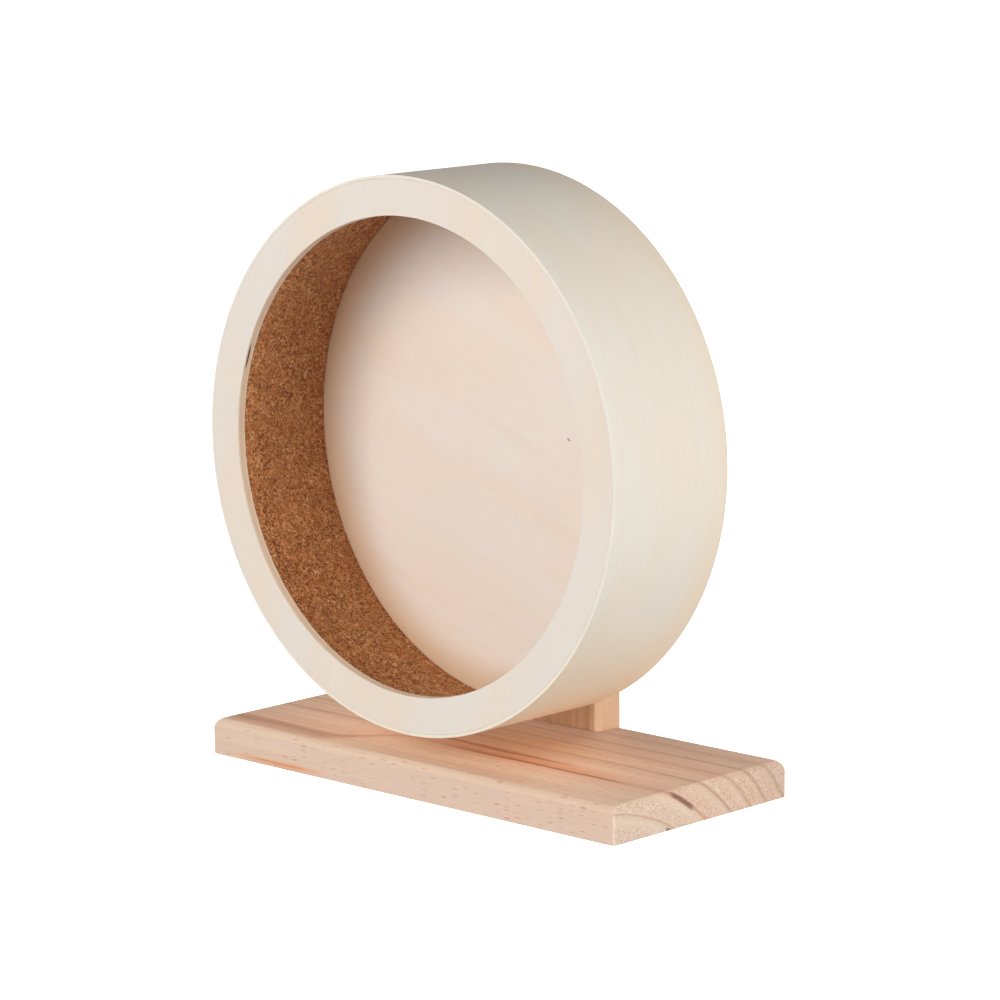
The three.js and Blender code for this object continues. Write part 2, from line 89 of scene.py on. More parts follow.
rim_low, rim_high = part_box("rim_shell")
AXLE_Z = (rim_low.z + rim_high.z) / 2
RIM_RADIUS = radius_of("rim_shell")
GLUE_LINE = 0.1 * MM
RING_WIDTH = 18.35 * MM
CORK_THICK = 2 * MM
CORK_RADIUS = radius_of("cork_lining") - CORK_THICK
SEAT_GAP = 0.15 * MM
BORE_GAP = 0.2 * MM
PLY_EASE = 0.2 * MM

DRUM_STEPS = 288
HUB_STEPS = 160
BEARING_STEPS = 96
BOLT_STEPS = 64
SCREW_STEPS = 32
ROOM_STEPS = 48

# ---------------------------------------------------------------- finishes: the shader helpers


def colour(red, green, blue):
    """A display colour of 0 to 255 a channel, as Blender's linear colour."""
    shares = [channel / 255 for channel in (red, green, blue)]
    return (*(s / 12.92 if s <= 0.04045 else ((s + 0.055) / 1.055) ** 2.4 for s in shares), 1.0)


def socket_named(sockets, key):
    if isinstance(key, int):
        return sockets[key]
    return next(s for s in sockets if key in (s.identifier, s.name))


def fill_ramp(ramp, stops):
    while len(ramp.elements) < len(stops):
        ramp.elements.new(1.0)
    for element, (position, shade) in zip(ramp.elements, stops):
        element.position = position
        element.color = shade


class Shade:
    """A number that changes over a surface. Sums on it add the Math nodes that work it out."""

    def __init__(self, finish, socket):
        self.finish = finish
        self.socket = socket

    def math(self, operation, first, second=0.0):
        return self.finish.node("ShaderNodeMath", {"operation": operation}, {0: first, 1: second})

    def __add__(self, other):
        return self.math("ADD", self, other)

    __radd__ = __add__

    def __sub__(self, other):
        return self.math("SUBTRACT", self, other)

    def __rsub__(self, other):
        return self.math("SUBTRACT", other, self)

    def __mul__(self, other):
        return self.math("MULTIPLY", self, other)

    __rmul__ = __mul__

    def __truediv__(self, other):
        return self.math("DIVIDE", self, other)

    def __pow__(self, other):
        return self.math("POWER", self, other)

    def __abs__(self):
        return self.math("ABSOLUTE", self)

    def fraction(self):
        return self.math("FRACT", self)

    def rise(self, low, high):
        """0 below low, 1 above high, and smooth between. With high below low it falls instead."""
        if low > high:
            return 1 - self.rise(high, low)
        return self.finish.node(
            "ShaderNodeMapRange",
            {"interpolation_type": "SMOOTHSTEP"},
            {"Value": self, "From Min": low, "From Max": high},
        )

    def within(self, low, high, soft):
        """1 between low and high, with an edge that fades over the distance soft."""
        return self.rise(low - soft, low + soft) * self.rise(high + soft, high - soft)


class Finish:
    """One material, written as sums on its sockets."""

    def __init__(self, name, **settings):
        self.material = bpy.data.materials.new(name)
        self.material.use_nodes = True
        self.tree = self.material.node_tree
        self.shader = self.tree.nodes["Principled BSDF"]
        for socket, value in settings.items():
            self.shader.inputs[socket.replace("_", " ")].default_value = value

    def node(self, kind, settings, values, out=0):
        """A node of that kind, its settings made first, then its sockets filled or linked."""
        made = self.tree.nodes.new(kind)
        for setting, value in settings.items():
            if setting == "stops":
                fill_ramp(made.color_ramp, value)
            else:
                setattr(made, setting, value)
        for key, value in values.items():
            socket = socket_named(made.inputs, key)
            if isinstance(value, Shade):
                self.tree.links.new(value.socket, socket)
            else:
                socket.default_value = value
        return Shade(self, socket_named(made.outputs, out))

    def place(self):
        return self.node("ShaderNodeTexCoord", {}, {}, "Object")

    def facing(self):
        """The surface's direction, split into its x, y and z."""
        return self.split(self.node("ShaderNodeTexCoord", {}, {}, "Normal"))

    def split(self, vector):
        parts = self.node("ShaderNodeSeparateXYZ", {}, {0: vector})
        return [Shade(self, socket) for socket in parts.socket.node.outputs]

    def join(self, x, y, z):
        return self.node("ShaderNodeCombineXYZ", {}, {0: x, 1: y, 2: z})

    def mapped(self, vector, scale=(1, 1, 1), turn=(0, 0, 0), shift=(0, 0, 0)):
        values = {"Vector": vector, "Scale": scale, "Rotation": turn, "Location": shift}
        return self.node("ShaderNodeMapping", {}, values)

    def noise(self, vector, scale, detail, roughness, shift=(0, 0, 0)):
        place = self.mapped(vector, scale, shift=shift)
        values = {"Vector": place, "Scale": 1.0, "Detail": detail, "Roughness": roughness}
        return self.node("ShaderNodeTexNoise", {"noise_dimensions": "3D"}, values, "Fac")

    def cells(self, vector, out="Distance"):
        values = {"Vector": vector, "Scale": 1.0}
        return self.node("ShaderNodeTexVoronoi", {"feature": "F1"}, values, out)

    def mix(self, share, below, above):
        values = {"Factor_Float": share, "A_Color": below, "B_Color": above}
        return self.node("ShaderNodeMix", {"data_type": "RGBA"}, values, "Result_Color")

    def ramp(self, value, stops):
        return self.node("ShaderNodeValToRGB", {"stops": stops}, {"Fac": value}, "Color")

    def wear(self, socket, value):
        self.tree.links.new(value.socket, self.shader.inputs[socket])

    def bump(self, height, distance, strength=1.0):
        values = {"Height": height, "Distance": distance, "Strength": strength}
        self.wear("Normal", self.node("ShaderNodeBump", {}, values))


# ---------------------------------------------------------------- finishes: wood


def from_axle(x, z):
    """A point's distance from the axle's line."""
    height = z - AXLE_Z
    return (x * x + height * height) ** 0.5


def round_axle(x, z):
    """A point's turn about the axle, from the drum's right side upwards."""
    return x.math("ARCTAN2", z - AXLE_Z, x)


def birch(name, grain_turn, tones, figure=1.0, layers=None, fleck=None, shaded_from=None, gap=None):
    """Sanded birch veneer with its grain along X, turned about Y. Figure is how strongly the
    grain shows. Layers are the plywood's veneers on the cut edge, as a ramp's stops from the
    front face to the back. Fleck is the x and z of one small dark mark in the veneer. Past the
    radius shaded_from, out to the cork, the face towards -Y is painted warmer and browner, as
    painted shade and painted warm bounce light from the cork. Gap is where a core veneer falls
    short: its turn about the axle, its y, and half its length and width; in and round it the
    veneer is painted dark brown, as painted shade inside the gap."""
    paint = Finish(name, Roughness=0.55)
    grain = paint.mapped(paint.place(), turn=(0, grain_turn, 0))
    clouds = paint.noise(grain, (8, 22, 26), 3.0, 0.5)
    bands = paint.noise(grain, (5, 60, 70), 4.0, 0.55)
    waves = paint.noise(grain, (12, 160, 190), 3.0, 0.55, shift=(3, 0, 5))
    pores = paint.noise(grain, (420, 4200, 4200), 2.0, 0.6)
    fibre = paint.noise(grain, (60, 1100, 1100), 3.0, 0.6)
    wood = paint.mix(clouds.rise(0.35, 0.7), tones[0], tones[1])
    wood = paint.mix(bands.rise(0.54, 0.8) * (0.5 * figure), wood, colour(230, 205, 182))
    wood = paint.mix(bands.rise(0.44, 0.26) * (0.4 * figure), wood, colour(230, 223, 206))
    wood = paint.mix(waves.rise(0.56, 0.72) * (0.22 * figure), wood, colour(226, 208, 180))
    wood = paint.mix(fibre.rise(0.35, 0.75) * 0.1, wood, colour(216, 198, 178))
    wood = paint.mix(pores.rise(0.6, 0.8) * 0.12, wood, colour(196, 170, 144))
    if fleck:
        x, _, z = paint.split(paint.place())
        along, over = x - fleck[0], (z - fleck[1]) * 2 + (x - fleck[0])
        apart = (along * along + over * over) ** 0.5
        wood = paint.mix(apart.rise(1.5 * MM, 0.6 * MM) * 0.8, wood, colour(96, 78, 68))
    # painted shade and painted warm bounce light from the cork: the disc's inside face is warmer and
    # browner near its edge
    if shaded_from:
        x, _, z = paint.split(paint.place())
        shaded = from_axle(x, z).rise(shaded_from, CORK_RADIUS) * paint.facing()[1].rise(-0.2, -0.6)
        wood = paint.mix(shaded * 0.8, wood, colour(238, 206, 168))
    relief = fibre * 0.6 + pores * 0.4
    if layers:
        low, high = layers["from"], layers["to"]
        depth = (paint.split(paint.place())[1] - low) / (high - low)
        facing = abs(paint.facing()[1])
        saw = paint.noise(paint.place(), (500, 2600, 500), 3.0, 0.65)
        veneers = paint.ramp(depth + (saw - 0.5) * 0.05, layers["stops"])
        veneers = paint.mix(saw.rise(0.4, 0.75) * 0.25, veneers, colour(216, 184, 152))
        wood = paint.mix(facing.rise(0.75, 0.55), wood, veneers)
    # painted shade: the veneer in and round the core gap is painted dark brown, for the shade inside the
    # gap
    if gap:
        x, y, z = paint.split(paint.place())
        along = (round_axle(x, z) - gap["turn"]) * CORK_RADIUS / gap["half_length"]
        over = (y - gap["y"]) / gap["half_width"]
        apart = (along * along + over * over) ** 0.5
        wood = paint.mix(apart.rise(1.25, 0.95), wood, colour(128, 70, 38))
    paint.wear("Base Color", wood)
    paint.wear("Roughness", 0.5 + clouds * 0.14)
    paint.bump(relief, 0.04 * MM, 0.35)
    return paint.material


def ply_stops():
    """The ring's four veneers across its sawn edge, with a glue line between each two."""
    light = colour(244, 230, 210)
    tan = colour(240, 210, 180)
    grey = colour(236, 214, 188)
    glue = colour(208, 174, 142)
    return [
        (0.0, light),
        (0.2, light),
        (0.23, glue),
        (0.26, tan),
        (0.46, tan),
        (0.49, glue),
        (0.52, grey),
        (0.72, grey),
        (0.75, glue),
        (0.78, light),
        (1.0, light),
    ]


def rim_veneer():
    """The bent strip round the drum: its grain runs round the hoop, and it is a little warmer
    towards its back edge. Low down it is painted lighter and warmer, as painted bounce light from below."""
    paint = Finish("rim_veneer", Roughness=0.55)
    x, y, z = paint.split(paint.place())
    strip = paint.join(round_axle(x, z) * RIM_RADIUS, y, 0.0)
    clouds = paint.noise(strip, (12, 26, 1), 3.0, 0.5)
    bands = paint.noise(strip, (5, 120, 1), 4.0, 0.55)
    fibre = paint.noise(strip, (45, 1200, 1), 3.0, 0.65)
    mottle = paint.noise(strip, (300, 480, 1), 3.0, 0.6)
    back = y.rise(rim_high.y - 26 * MM, rim_high.y)
    wood = paint.mix(clouds.rise(0.35, 0.7), colour(233, 226, 214), colour(235, 223, 206))
    wood = paint.mix(bands.rise(0.5, 0.8) * 0.4, wood, colour(234, 212, 188))
    wood = paint.mix(back * (0.2 + 0.5 * clouds), wood, colour(238, 214, 184))
    wood = paint.mix(fibre.rise(0.4, 0.8) * 0.12, wood, colour(214, 196, 172))
    wood = paint.mix(mottle.rise(0.45, 0.75) * 0.12, wood, colour(218, 205, 187))
    # painted bounce light: the strip is lighter and warmer low down
    wood = paint.mix(z.rise(125 * MM, 40 * MM) * 0.6, wood, colour(250, 228, 192))
    edge = abs(paint.facing()[1]).rise(0.6, 0.85)
    wood = paint.mix(edge * 0.6, wood, colour(228, 219, 206))
    paint.wear("Base Color", wood)
    paint.wear("Roughness", 0.5 + mottle * 0.16)
    paint.bump(fibre * 0.6 + mottle * 0.4, 0.05 * MM, 0.4)
    return paint.material


@dataclass
class PineLog:
    """Where a board was sawn from its log. Directions are the axes along the grain and the two
    across it, pith is the log's centre across the grain, and zones are colours by distance from
    the pith, in millimetres. The rings show softly on the wide faces, over the face tone, and
    hardly at all on the narrow sides, which cut them nearly flat. Borders are where one ring ends
    and the next begins. Bend is where along the log its rings begin to shift outwards, where they
    have done so, and by how much. Flecked is how strongly its resin canals show."""

    directions: tuple
    pith: tuple
    zones: list
    borders: list
    face_tone: tuple
    side_tone: tuple
    bend: tuple = (0, 1, 0)
    flecked: float = 0.85


@dataclass
class Streak:
    """A coloured streak in the wood: its inner edge, its crest and its outer edge by distance from
    the pith, where it starts and ends along the board and how far it fades there, all in
    millimetres, and its strength and colour."""

    inner: float
    crest: float
    outer: float
    start: float
    end: float
    fade: float
    share: float
    colour: tuple


@dataclass
class ResinSpot:
    """A resin pocket on the end grain: its inner and outer edge by distance from the pith, in
    millimetres, and its two ends and their softness in degrees round the pith."""

    inner: float
    outer: float
    turn_from: float
    turn_to: float
    turn_fade: float
    colour: tuple


def torn_stops(log):
    """Where the saw tears the end grain: the first part of each ring, which is softest."""
    first, last = log.zones[0][0], log.zones[-1][0]
    stops = []
    for start, end in zip(log.borders, log.borders[1:]):
        for share, depth in ((0.04, 0.0), (0.12, 1.0), (0.5, 1.0), (0.75, 0.08)):
            distance = start + share * (end - start)
            stops.append(((distance - first) / (last - first), (depth, depth, depth, 1)))
    return stops


def yearly_rings(first, width, count):
    """Zones for a log whose rings are all alike: spring wood that darkens to a thin line."""
    zones = []
    for number in range(count):
        start = first + number * width
        zones += [
            (start, colour(206, 162, 120)),
            (start + 0.78 * width, colour(197, 150, 109)),
            (start + 0.95 * width, colour(182, 132, 92)),
        ]
    return zones


def pine(name, log, streaks=(), spots=()):
    """Planed pine as a solid log: growth rings about its pith, fibres along it, resin canals that
    show as short flecks on its faces, and sawn ends whose spring wood is torn in slanting rows."""
    paint = Finish(name, Roughness=0.6)
    parts = paint.split(paint.place())
    normals = paint.facing()
    lengthwise, across, upward = (parts[i] for i in log.directions)
    end_grain = abs(normals[log.directions[0]]).rise(0.35, 0.6)
    grain = paint.join(lengthwise, across, upward)

    wander = paint.noise(grain, (6, 11, 11), 2.0, 0.5) - 0.5
    ripple = paint.noise(grain, (14, 60, 60), 3.0, 0.6) - 0.5
    side = across - log.pith[0]
    rise = upward - log.pith[1]
    radius = (side * side + rise * rise) ** 0.5 + wander * (3 * MM) + ripple * (1.6 * MM)
    bend_start, bend_end, shift = log.bend
    radius = radius + lengthwise.rise(bend_start, bend_end) * shift
    first, last = log.zones[0][0], log.zones[-1][0]
    reach = (radius / MM - first) / (last - first)
    stops = [((distance - first) / (last - first), shade) for distance, shade in log.zones]
    rings = paint.ramp(reach, stops)
    flatness = abs(normals[log.directions[2]])
    narrow_side = flatness.rise(0.98, 0.94) * (1 - end_grain)
    # painted light: the sloping parts of the narrow sides, such as the rounded top edges, are painted
    # lighter and yellower, so that they look as lit as the upright faces
    rounding_painted_light = narrow_side * flatness.rise(0.15, 0.5)
    faces = paint.mix(0.35, rings, log.face_tone)
    faces = paint.mix(narrow_side * 0.85, faces, log.side_tone)
    faces = paint.mix(rounding_painted_light * 0.35, faces, colour(236, 206, 174))
    face_contrast = 1 - 0.7 * narrow_side

    fibre = paint.noise(grain, (13, 620, 620), 4.0, 0.62)
    strands = paint.noise(grain, (9, 900, 900), 3.0, 0.6, shift=(2, 0, 0))
    threads = paint.noise(grain, (60, 2600, 2600), 3.0, 0.65)
    drift = paint.noise(grain, (4, 90, 90), 4.0, 0.6)
    wood = paint.mix(drift.rise(0.45, 0.66) * face_contrast * 0.5, faces, colour(226, 180, 154))
    wood = paint.mix(drift.rise(0.48, 0.32) * face_contrast * 0.45, wood, colour(240, 208, 176))
    wood = paint.mix(fibre.rise(0.48, 0.68) * face_contrast * 0.42, wood, colour(208, 156, 126))
    wood = paint.mix(fibre.rise(0.46, 0.32) * face_contrast * 0.25, wood, colour(242, 214, 182))
    wood = paint.mix(threads.rise(0.52, 0.78) * 0.18, wood, colour(186, 140, 108))

    for streak in streaks:
        crest = streak.crest * MM
        band = radius.rise(streak.inner * MM, crest) * radius.rise(streak.outer * MM, crest)
        length = lengthwise.within(streak.start * MM, streak.end * MM, streak.fade * MM)
        share = band * length * (0.35 + 1.1 * strands.rise(0.35, 0.65)) * streak.share
        wood = paint.mix(share.math("MINIMUM", share, 1.0), wood, streak.colour)

    fleck_place = paint.mapped(grain, (140, 2000, 2000))
    strewn = paint.noise(grain, (50, 260, 260), 2.0, 0.6, shift=(0, 4, 0))
    chosen = paint.split(paint.cells(fleck_place, out="Color"))[0]
    crowded = (chosen + upward.rise(8 * MM, 17 * MM) * 0.05) * (0.9 + 0.1 * narrow_side)
    flecks = paint.cells(fleck_place).rise(0.4, 0.22) * crowded.rise(0.78, 0.88) * (1 - end_grain)
    flecks = flecks * strewn.rise(0.36, 0.5)
    wood = paint.mix(flecks * log.flecked, wood, colour(184, 104, 62))

    rows = paint.mapped(paint.join(across, upward, lengthwise), turn=(0, 0, SAW_TURN))
    _, past_rows, _ = paint.split(rows)
    wobble = paint.noise(rows, (180, 180, 1), 2.0, 0.5)
    row = abs((past_rows / ROW_SPACING + wobble * 1.2).fraction() - 0.5) * 2
    pits = paint.mapped(rows, (1500, 1000, 60))
    pitted = paint.split(paint.cells(pits, out="Color"))[0].rise(0.2, 0.45)
    crumble = paint.noise(rows, (1500, 1100, 60), 3.0, 0.7)
    soft_wood = paint.split(paint.ramp(reach, torn_stops(log)))[0]
    torn = paint.cells(pits).rise(0.58, 0.2) * pitted * (0.55 + 0.45 * row.rise(0.85, 0.15)) * soft_wood
    sawn = paint.mix(0.2, rings, colour(222, 208, 198))
    sawn = paint.mix(crumble.rise(0.46, 0.62) * (0.12 + 0.2 * soft_wood), sawn, colour(206, 152, 118))
    sawn = paint.mix(crumble.rise(0.46, 0.36) * 0.5, sawn, colour(242, 227, 212))
    sawn = paint.mix(torn * 0.78, sawn, colour(180, 120, 88))
    for spot in spots:
        close = radius.within(spot.inner * MM, spot.outer * MM, 0.6 * MM)
        turn = side.math("ARCTAN2", side, rise)
        turns = (math.radians(angle) for angle in (spot.turn_from, spot.turn_to, spot.turn_fade))
        sawn = paint.mix(close * turn.within(*turns) * (0.45 + 0.75 * threads), sawn, spot.colour)
    wood = paint.mix(end_grain, wood, sawn)

    paint.wear("Base Color", wood)
    paint.wear("Roughness", 0.52 + fibre * 0.16)
    face_relief = fibre * 0.5 + threads * 0.3 - flecks * 0.8
    end_relief = (1 - torn) * 2.2 + crumble * 1.2
    paint.bump(face_relief * (1 - end_grain) + end_relief * end_grain, 0.08 * MM, 0.5)
    return paint.material


ROW_SPACING = 2.2 * MM
SAW_TURN = math.radians(50)
BOARD_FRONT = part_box("base_board")[0].y


def board_pine():
    """The base board's own log: wide rings about a pith ahead of and below its front edge, an
    orange streak behind the third ring, one low on the front face, and resin on the end grain."""
    borders = [86, 101.4, 116, 129.3, 140.6, 150.6, 161.8, 174]
    tones = {
        84: (228, 202, 178),
        98: (230, 206, 180),
        100.4: (220, 190, 160),
        101.3: (196, 142, 102),
        102.2: (232, 204, 174),
        112: (234, 206, 176),
        114.6: (226, 186, 152),
        116: (188, 126, 86),
        117.2: (230, 190, 158),
        126: (230, 196, 168),
        128: (218, 178, 146),
        129.2: (180, 122, 82),
        130.4: (232, 198, 168),
        138: (230, 192, 162),
        140.6: (198, 142, 102),
        142.2: (228, 195, 166),
        148.6: (219, 181, 148),
        150.6: (182, 130, 92),
        152: (222, 190, 162),
        159.6: (212, 175, 144),
        161.8: (180, 128, 90),
        163.4: (217, 187, 161),
        174: (212, 181, 155),
    }
    log = PineLog(
        directions=(0, 1, 2),
        pith=(BOARD_FRONT - 10.7 * MM, -85 * MM),
        zones=[(distance, colour(*tone)) for distance, tone in tones.items()],
        borders=borders,
        face_tone=colour(234, 197, 175),
        side_tone=colour(213, 185, 165),
        bend=(-30 * MM, -70 * MM, 9.2 * MM),
    )
    streaks = [
        Streak(108, 128, 164, -28, 66, 44, 0.42, colour(232, 172, 112)),
        Streak(115.4, 117.2, 120.5, -24, 100, 28, 0.62, colour(216, 144, 90)),
        Streak(114.6, 115.6, 116.6, 0, 112, 16, 0.95, colour(170, 96, 58)),
        Streak(118.6, 120, 121.6, -40, 62, 20, 0.8, colour(176, 106, 70)),
        Streak(113, 115.9, 118, -150, -52, 20, 0.55, colour(190, 136, 112)),
        Streak(93.5, 97, 100, -122, -66, 18, 0.8, colour(216, 140, 84)),
    ]
    resin = colour(118, 66, 46)
    spots = [
        ResinSpot(114.4, 117, 27.6, 36, 1.2, resin),
        ResinSpot(98.2, 100, 29.4, 32.4, 0.6, resin),
    ]
    return pine("board_pine", log, streaks, spots)


def post_pine():
    zones = yearly_rings(70, 9, 10)
    borders = [70, 79, 88, 97, 106, 115]
    # painted shade: the post's wide faces, front and back, take this darker face tone, for the drum's shade
    # on its front face
    tone = colour(198, 147, 106)
    side = colour(214, 175, 141)
    log = PineLog((2, 0, 1), (90 * MM, -20 * MM), zones, borders, tone, side, flecked=0.2)
    return pine("post_pine", log)


def hub_pine():
    zones = yearly_rings(40, 12, 10)
    borders = [40, 52, 64, 76, 88, 100]
    tone = colour(222, 182, 146)
    log = PineLog((0, 1, 2), (-40 * MM, 60 * MM), zones, borders, tone, colour(226, 188, 156))
    return pine("hub_pine", log)


def beech_dowel_wood():
    """Beech, straight grained along Z with the short dark flecks of its rays."""
    paint = Finish("beech_dowel_wood", Roughness=0.6)
    place = paint.place()
    grain = paint.noise(place, (900, 900, 30), 3.0, 0.6)
    rays = paint.cells(paint.mapped(place, (1400, 1400, 420)))
    wood = paint.mix(grain, colour(222, 186, 144), colour(204, 160, 116))
    wood = paint.mix(rays.rise(0.3, 0.12) * 0.6, wood, colour(158, 110, 74))
    paint.wear("Base Color", wood)
    paint.bump(grain, 0.05 * MM, 0.4)
    return paint.material


# ---------------------------------------------------------------- finishes: cork, metal, nylon


def pressed_cork():
    """Pressed cork granules: slivers 1 to 3 mm long, each lying its own way, in browns, with
    lighter chips and dark specks."""
    paint = Finish("pressed_cork", Roughness=0.9)
    flat = paint.node("ShaderNodeUVMap", {"uv_map": "unrolled"}, {})
    lumps = paint.mapped(flat, (410, 410, 1))
    centre = paint.cells(lumps, out="Position")
    way = paint.split(paint.cells(lumps, out="Color"))[0]
    spun = paint.node(
        "ShaderNodeVectorRotate",
        {"rotation_type": "AXIS_ANGLE"},
        {"Vector": lumps, "Center": centre, "Axis": (0, 0, 1), "Angle": way * math.pi},
    )
    slivers = paint.mapped(spun, (1.1, 3.4, 1))
    pick, warm, _ = paint.split(paint.cells(slivers, out="Color"))
    crumbs = paint.mapped(flat, (1150, 1000, 1))
    crumb = paint.split(paint.cells(crumbs, out="Color"))[0]
    chips = paint.mapped(spun, (0.9, 1.7, 1), shift=(0.4, 0.7, 0))
    chip, tone, _ = paint.split(paint.cells(chips, out="Color"))
    on_chip = paint.cells(chips).rise(0.42, 0.3)
    dust = paint.noise(flat, (1900, 1900, 1), 3.0, 0.7)
    broad = paint.noise(flat, (26, 40, 1), 2.0, 0.5)
    cork = paint.ramp(
        pick * 0.66 + crumb * 0.34,
        [
            (0.1, colour(104, 62, 34)),
            (0.3, colour(166, 105, 60)),
            (0.48, colour(204, 137, 82)),
            (0.62, colour(228, 158, 97)),
            (0.78, colour(248, 186, 126)),
            (0.9, colour(255, 222, 170)),
        ],
    )
    cork = paint.mix(warm.rise(0.5, 1.0) * 0.4, cork, colour(228, 132, 78))
    cork = paint.mix(on_chip * chip.rise(0.9, 0.93) * 0.7, cork, colour(252, 202, 148))
    cork = paint.mix(on_chip * tone.rise(0.9, 0.93) * 0.7, cork, colour(236, 138, 92))
    cork = paint.mix(crumb.rise(0.93, 0.96) * 0.85, cork, colour(62, 38, 22))
    cork = paint.mix(dust.rise(0.62, 0.72) * 0.45, cork, colour(84, 54, 32))
    cork = paint.mix(broad.rise(0.4, 0.7) * 0.2, cork, colour(206, 146, 92))
    # painted shade: the cork is darker towards the back, deeper in the drum
    front, back = along_axle("cork_lining")
    depth = paint.split(flat)[1].rise(front, back)
    cork = paint.mix(depth * 0.3, cork, colour(134, 84, 48))
    paint.wear("Base Color", cork)
    paint.wear("Roughness", 0.82 + 0.12 * dust)
    paint.bump(pick * 0.5 + crumb * 0.3 + dust * 0.3, 0.12 * MM, 0.6)
    return paint.material


def bright_zinc():
    """Zinc-plated steel with cloudy plating and fine scratches."""
    paint = Finish("bright_zinc", Metallic=1.0, Roughness=0.3)
    place = paint.place()
    clouds = paint.noise(place, (160, 160, 160), 3.0, 0.6)
    scratches = paint.noise(place, (300, 6000, 900), 2.0, 0.6)
    metal = paint.mix(clouds, colour(176, 179, 184), colour(198, 195, 184))
    paint.wear("Base Color", metal)
    paint.wear("Roughness", 0.22 + clouds * 0.16 + scratches * 0.08)
    paint.bump(scratches, 0.01 * MM, 0.3)
    return paint.material


def ground_steel():
    """Bearing steel, ground in circles about the axle."""
    paint = Finish("ground_steel", Metallic=1.0, Roughness=0.18)
    x, y, z = paint.split(paint.place())
    rings = paint.noise(paint.join(from_axle(x, z), y, 0.0), (9000, 9000, 1), 2.0, 0.6)
    clouds = paint.noise(paint.place(), (220, 220, 220), 2.0, 0.5)
    paint.wear("Base Color", paint.mix(clouds, colour(198, 200, 203), colour(182, 185, 190)))
    paint.wear("Roughness", 0.12 + rings * 0.14)
    paint.bump(rings, 0.006 * MM, 0.3)
    return paint.material


def moulded_nylon():
    paint = Finish("moulded_nylon", Roughness=0.45)
    grainy = paint.noise(paint.place(), (1500, 1500, 1500), 3.0, 0.6)
    paint.wear("Base Color", paint.mix(grainy, colour(228, 232, 238), colour(216, 222, 232)))
    paint.wear("Roughness", 0.4 + grainy * 0.15)
    paint.bump(grainy, 0.02 * MM, 0.4)
    return paint.material


def studio_floor():
    paint = Finish("studio_floor", Roughness=0.9)
    paint.shader.inputs["Base Color"].default_value = (0.93, 0.93, 0.93, 1)
    paint.shader.inputs["Emission Color"].default_value = (1, 1, 1, 1)
    paint.shader.inputs["Emission Strength"].default_value = FLOOR_GLOW
    return paint.material


# ---------------------------------------------------------------- shaping helpers

SHARP = math.radians(35)
ORIGIN = Vector((0, 0, 0))
AXLE_LINE = Vector((0, 0, AXLE_Z))


def turned(profile, steps, centre=AXLE_LINE):
    """A solid turned about the line along Y through centre, from [radius, y] points. A profile
    that starts off the line is closed on itself."""
    bm = bmesh.new()
    corners = [bm.verts.new((radius, y, 0)) for radius, y in profile]
    for first, second in zip(corners, corners[1:]):
        bm.edges.new((first, second))
    if profile[0][0] > 0:
        bm.edges.new((corners[-1], corners[0]))
    bmesh.ops.spin(
        bm,
        geom=bm.verts[:] + bm.edges[:],
        cent=(0, 0, 0),
        axis=(0, 1, 0),
        angle=FULL_TURN,
        steps=steps,
        use_merge=True,
    )
    bmesh.ops.remove_doubles(bm, verts=bm.verts, dist=WELD)
    bmesh.ops.translate(bm, verts=bm.verts, vec=centre)
    bmesh.ops.recalc_face_normals(bm, faces=bm.faces)
    return bm


def ring(inner, outer, start, end):
    """The profile of a plain ring, for turned()."""
    return [(inner, start), (outer, start), (outer, end), (inner, end)]


def rod(radius, start, end):
    return [(0, start), (radius, start), (radius, end), (0, end)]


def arc(centre, radius, start, end, steps):
    """Points of an arc, for a turned profile, with its angles in degrees."""
    angles = [math.radians(start + (end - start) * i / steps) for i in range(steps + 1)]
    return [(centre[0] + radius * math.cos(a), centre[1] + radius * math.sin(a)) for a in angles]


def bevel(bm, edges, offset, segments):
    bmesh.ops.bevel(
        bm,
        geom=list(edges),
        offset=offset,
        offset_type="OFFSET",
        segments=segments,
        profile=0.5,
        affect="EDGES",
        clamp_overlap=True,
        material=-1,
    )


def ease(bm, offset, segments=2, where=lambda edge: True):
    """Rounds the sharp edges a little, as sanding or tumbling does."""
    sharp = [e for e in bm.edges if len(e.link_faces) == 2 and e.calc_face_angle() > SHARP and where(e)]
    bevel(bm, sharp, offset, segments)
    return bm


def axle_distance(vert):
    return math.hypot(vert.co.x, vert.co.z - AXLE_Z)


def block(low, high):
    """A box between two corners."""
    bm = bmesh.new()
    bmesh.ops.create_cube(bm, size=1)
    bmesh.ops.scale(bm, verts=bm.verts, vec=high - low)
    bmesh.ops.translate(bm, verts=bm.verts, vec=(low + high) / 2)
    return bm


def lofted(rings, count):
    """A closed sleeve about the Y axis: a circle of that many corners, extruded from each ring to
    the next. A ring is a function from a corner's angle to its [radius, y]."""
    bm = bmesh.new()
    corners = bmesh.ops.create_circle(bm, segments=count, radius=1)["verts"]
    angles = [FULL_TURN * i / count for i in range(count)]
    loops = []
    for place in rings:
        if loops:
            edges = [e for e in bm.edges if all(v in loops[-1] for v in e.verts)]
            made = bmesh.ops.extrude_edge_only(bm, edges=edges)["geom"]
            fresh = [g for g in made if isinstance(g, bmesh.types.BMVert)]
            corners = sorted(fresh, key=lambda v: math.atan2(v.co.z, v.co.x) % FULL_TURN)
        else:
            corners = sorted(corners, key=lambda v: math.atan2(v.co.y, v.co.x) % FULL_TURN)
        for angle, corner in zip(angles, corners):
            radius, y = place(angle)
            corner.co = (radius * math.cos(angle), y, radius * math.sin(angle))
        loops.append(set(corners))
    ends = [e for e in bm.edges if len(e.link_faces) == 1]
    bmesh.ops.bridge_loops(bm, edges=ends)
    bmesh.ops.recalc_face_normals(bm, faces=bm.faces)
    return bm


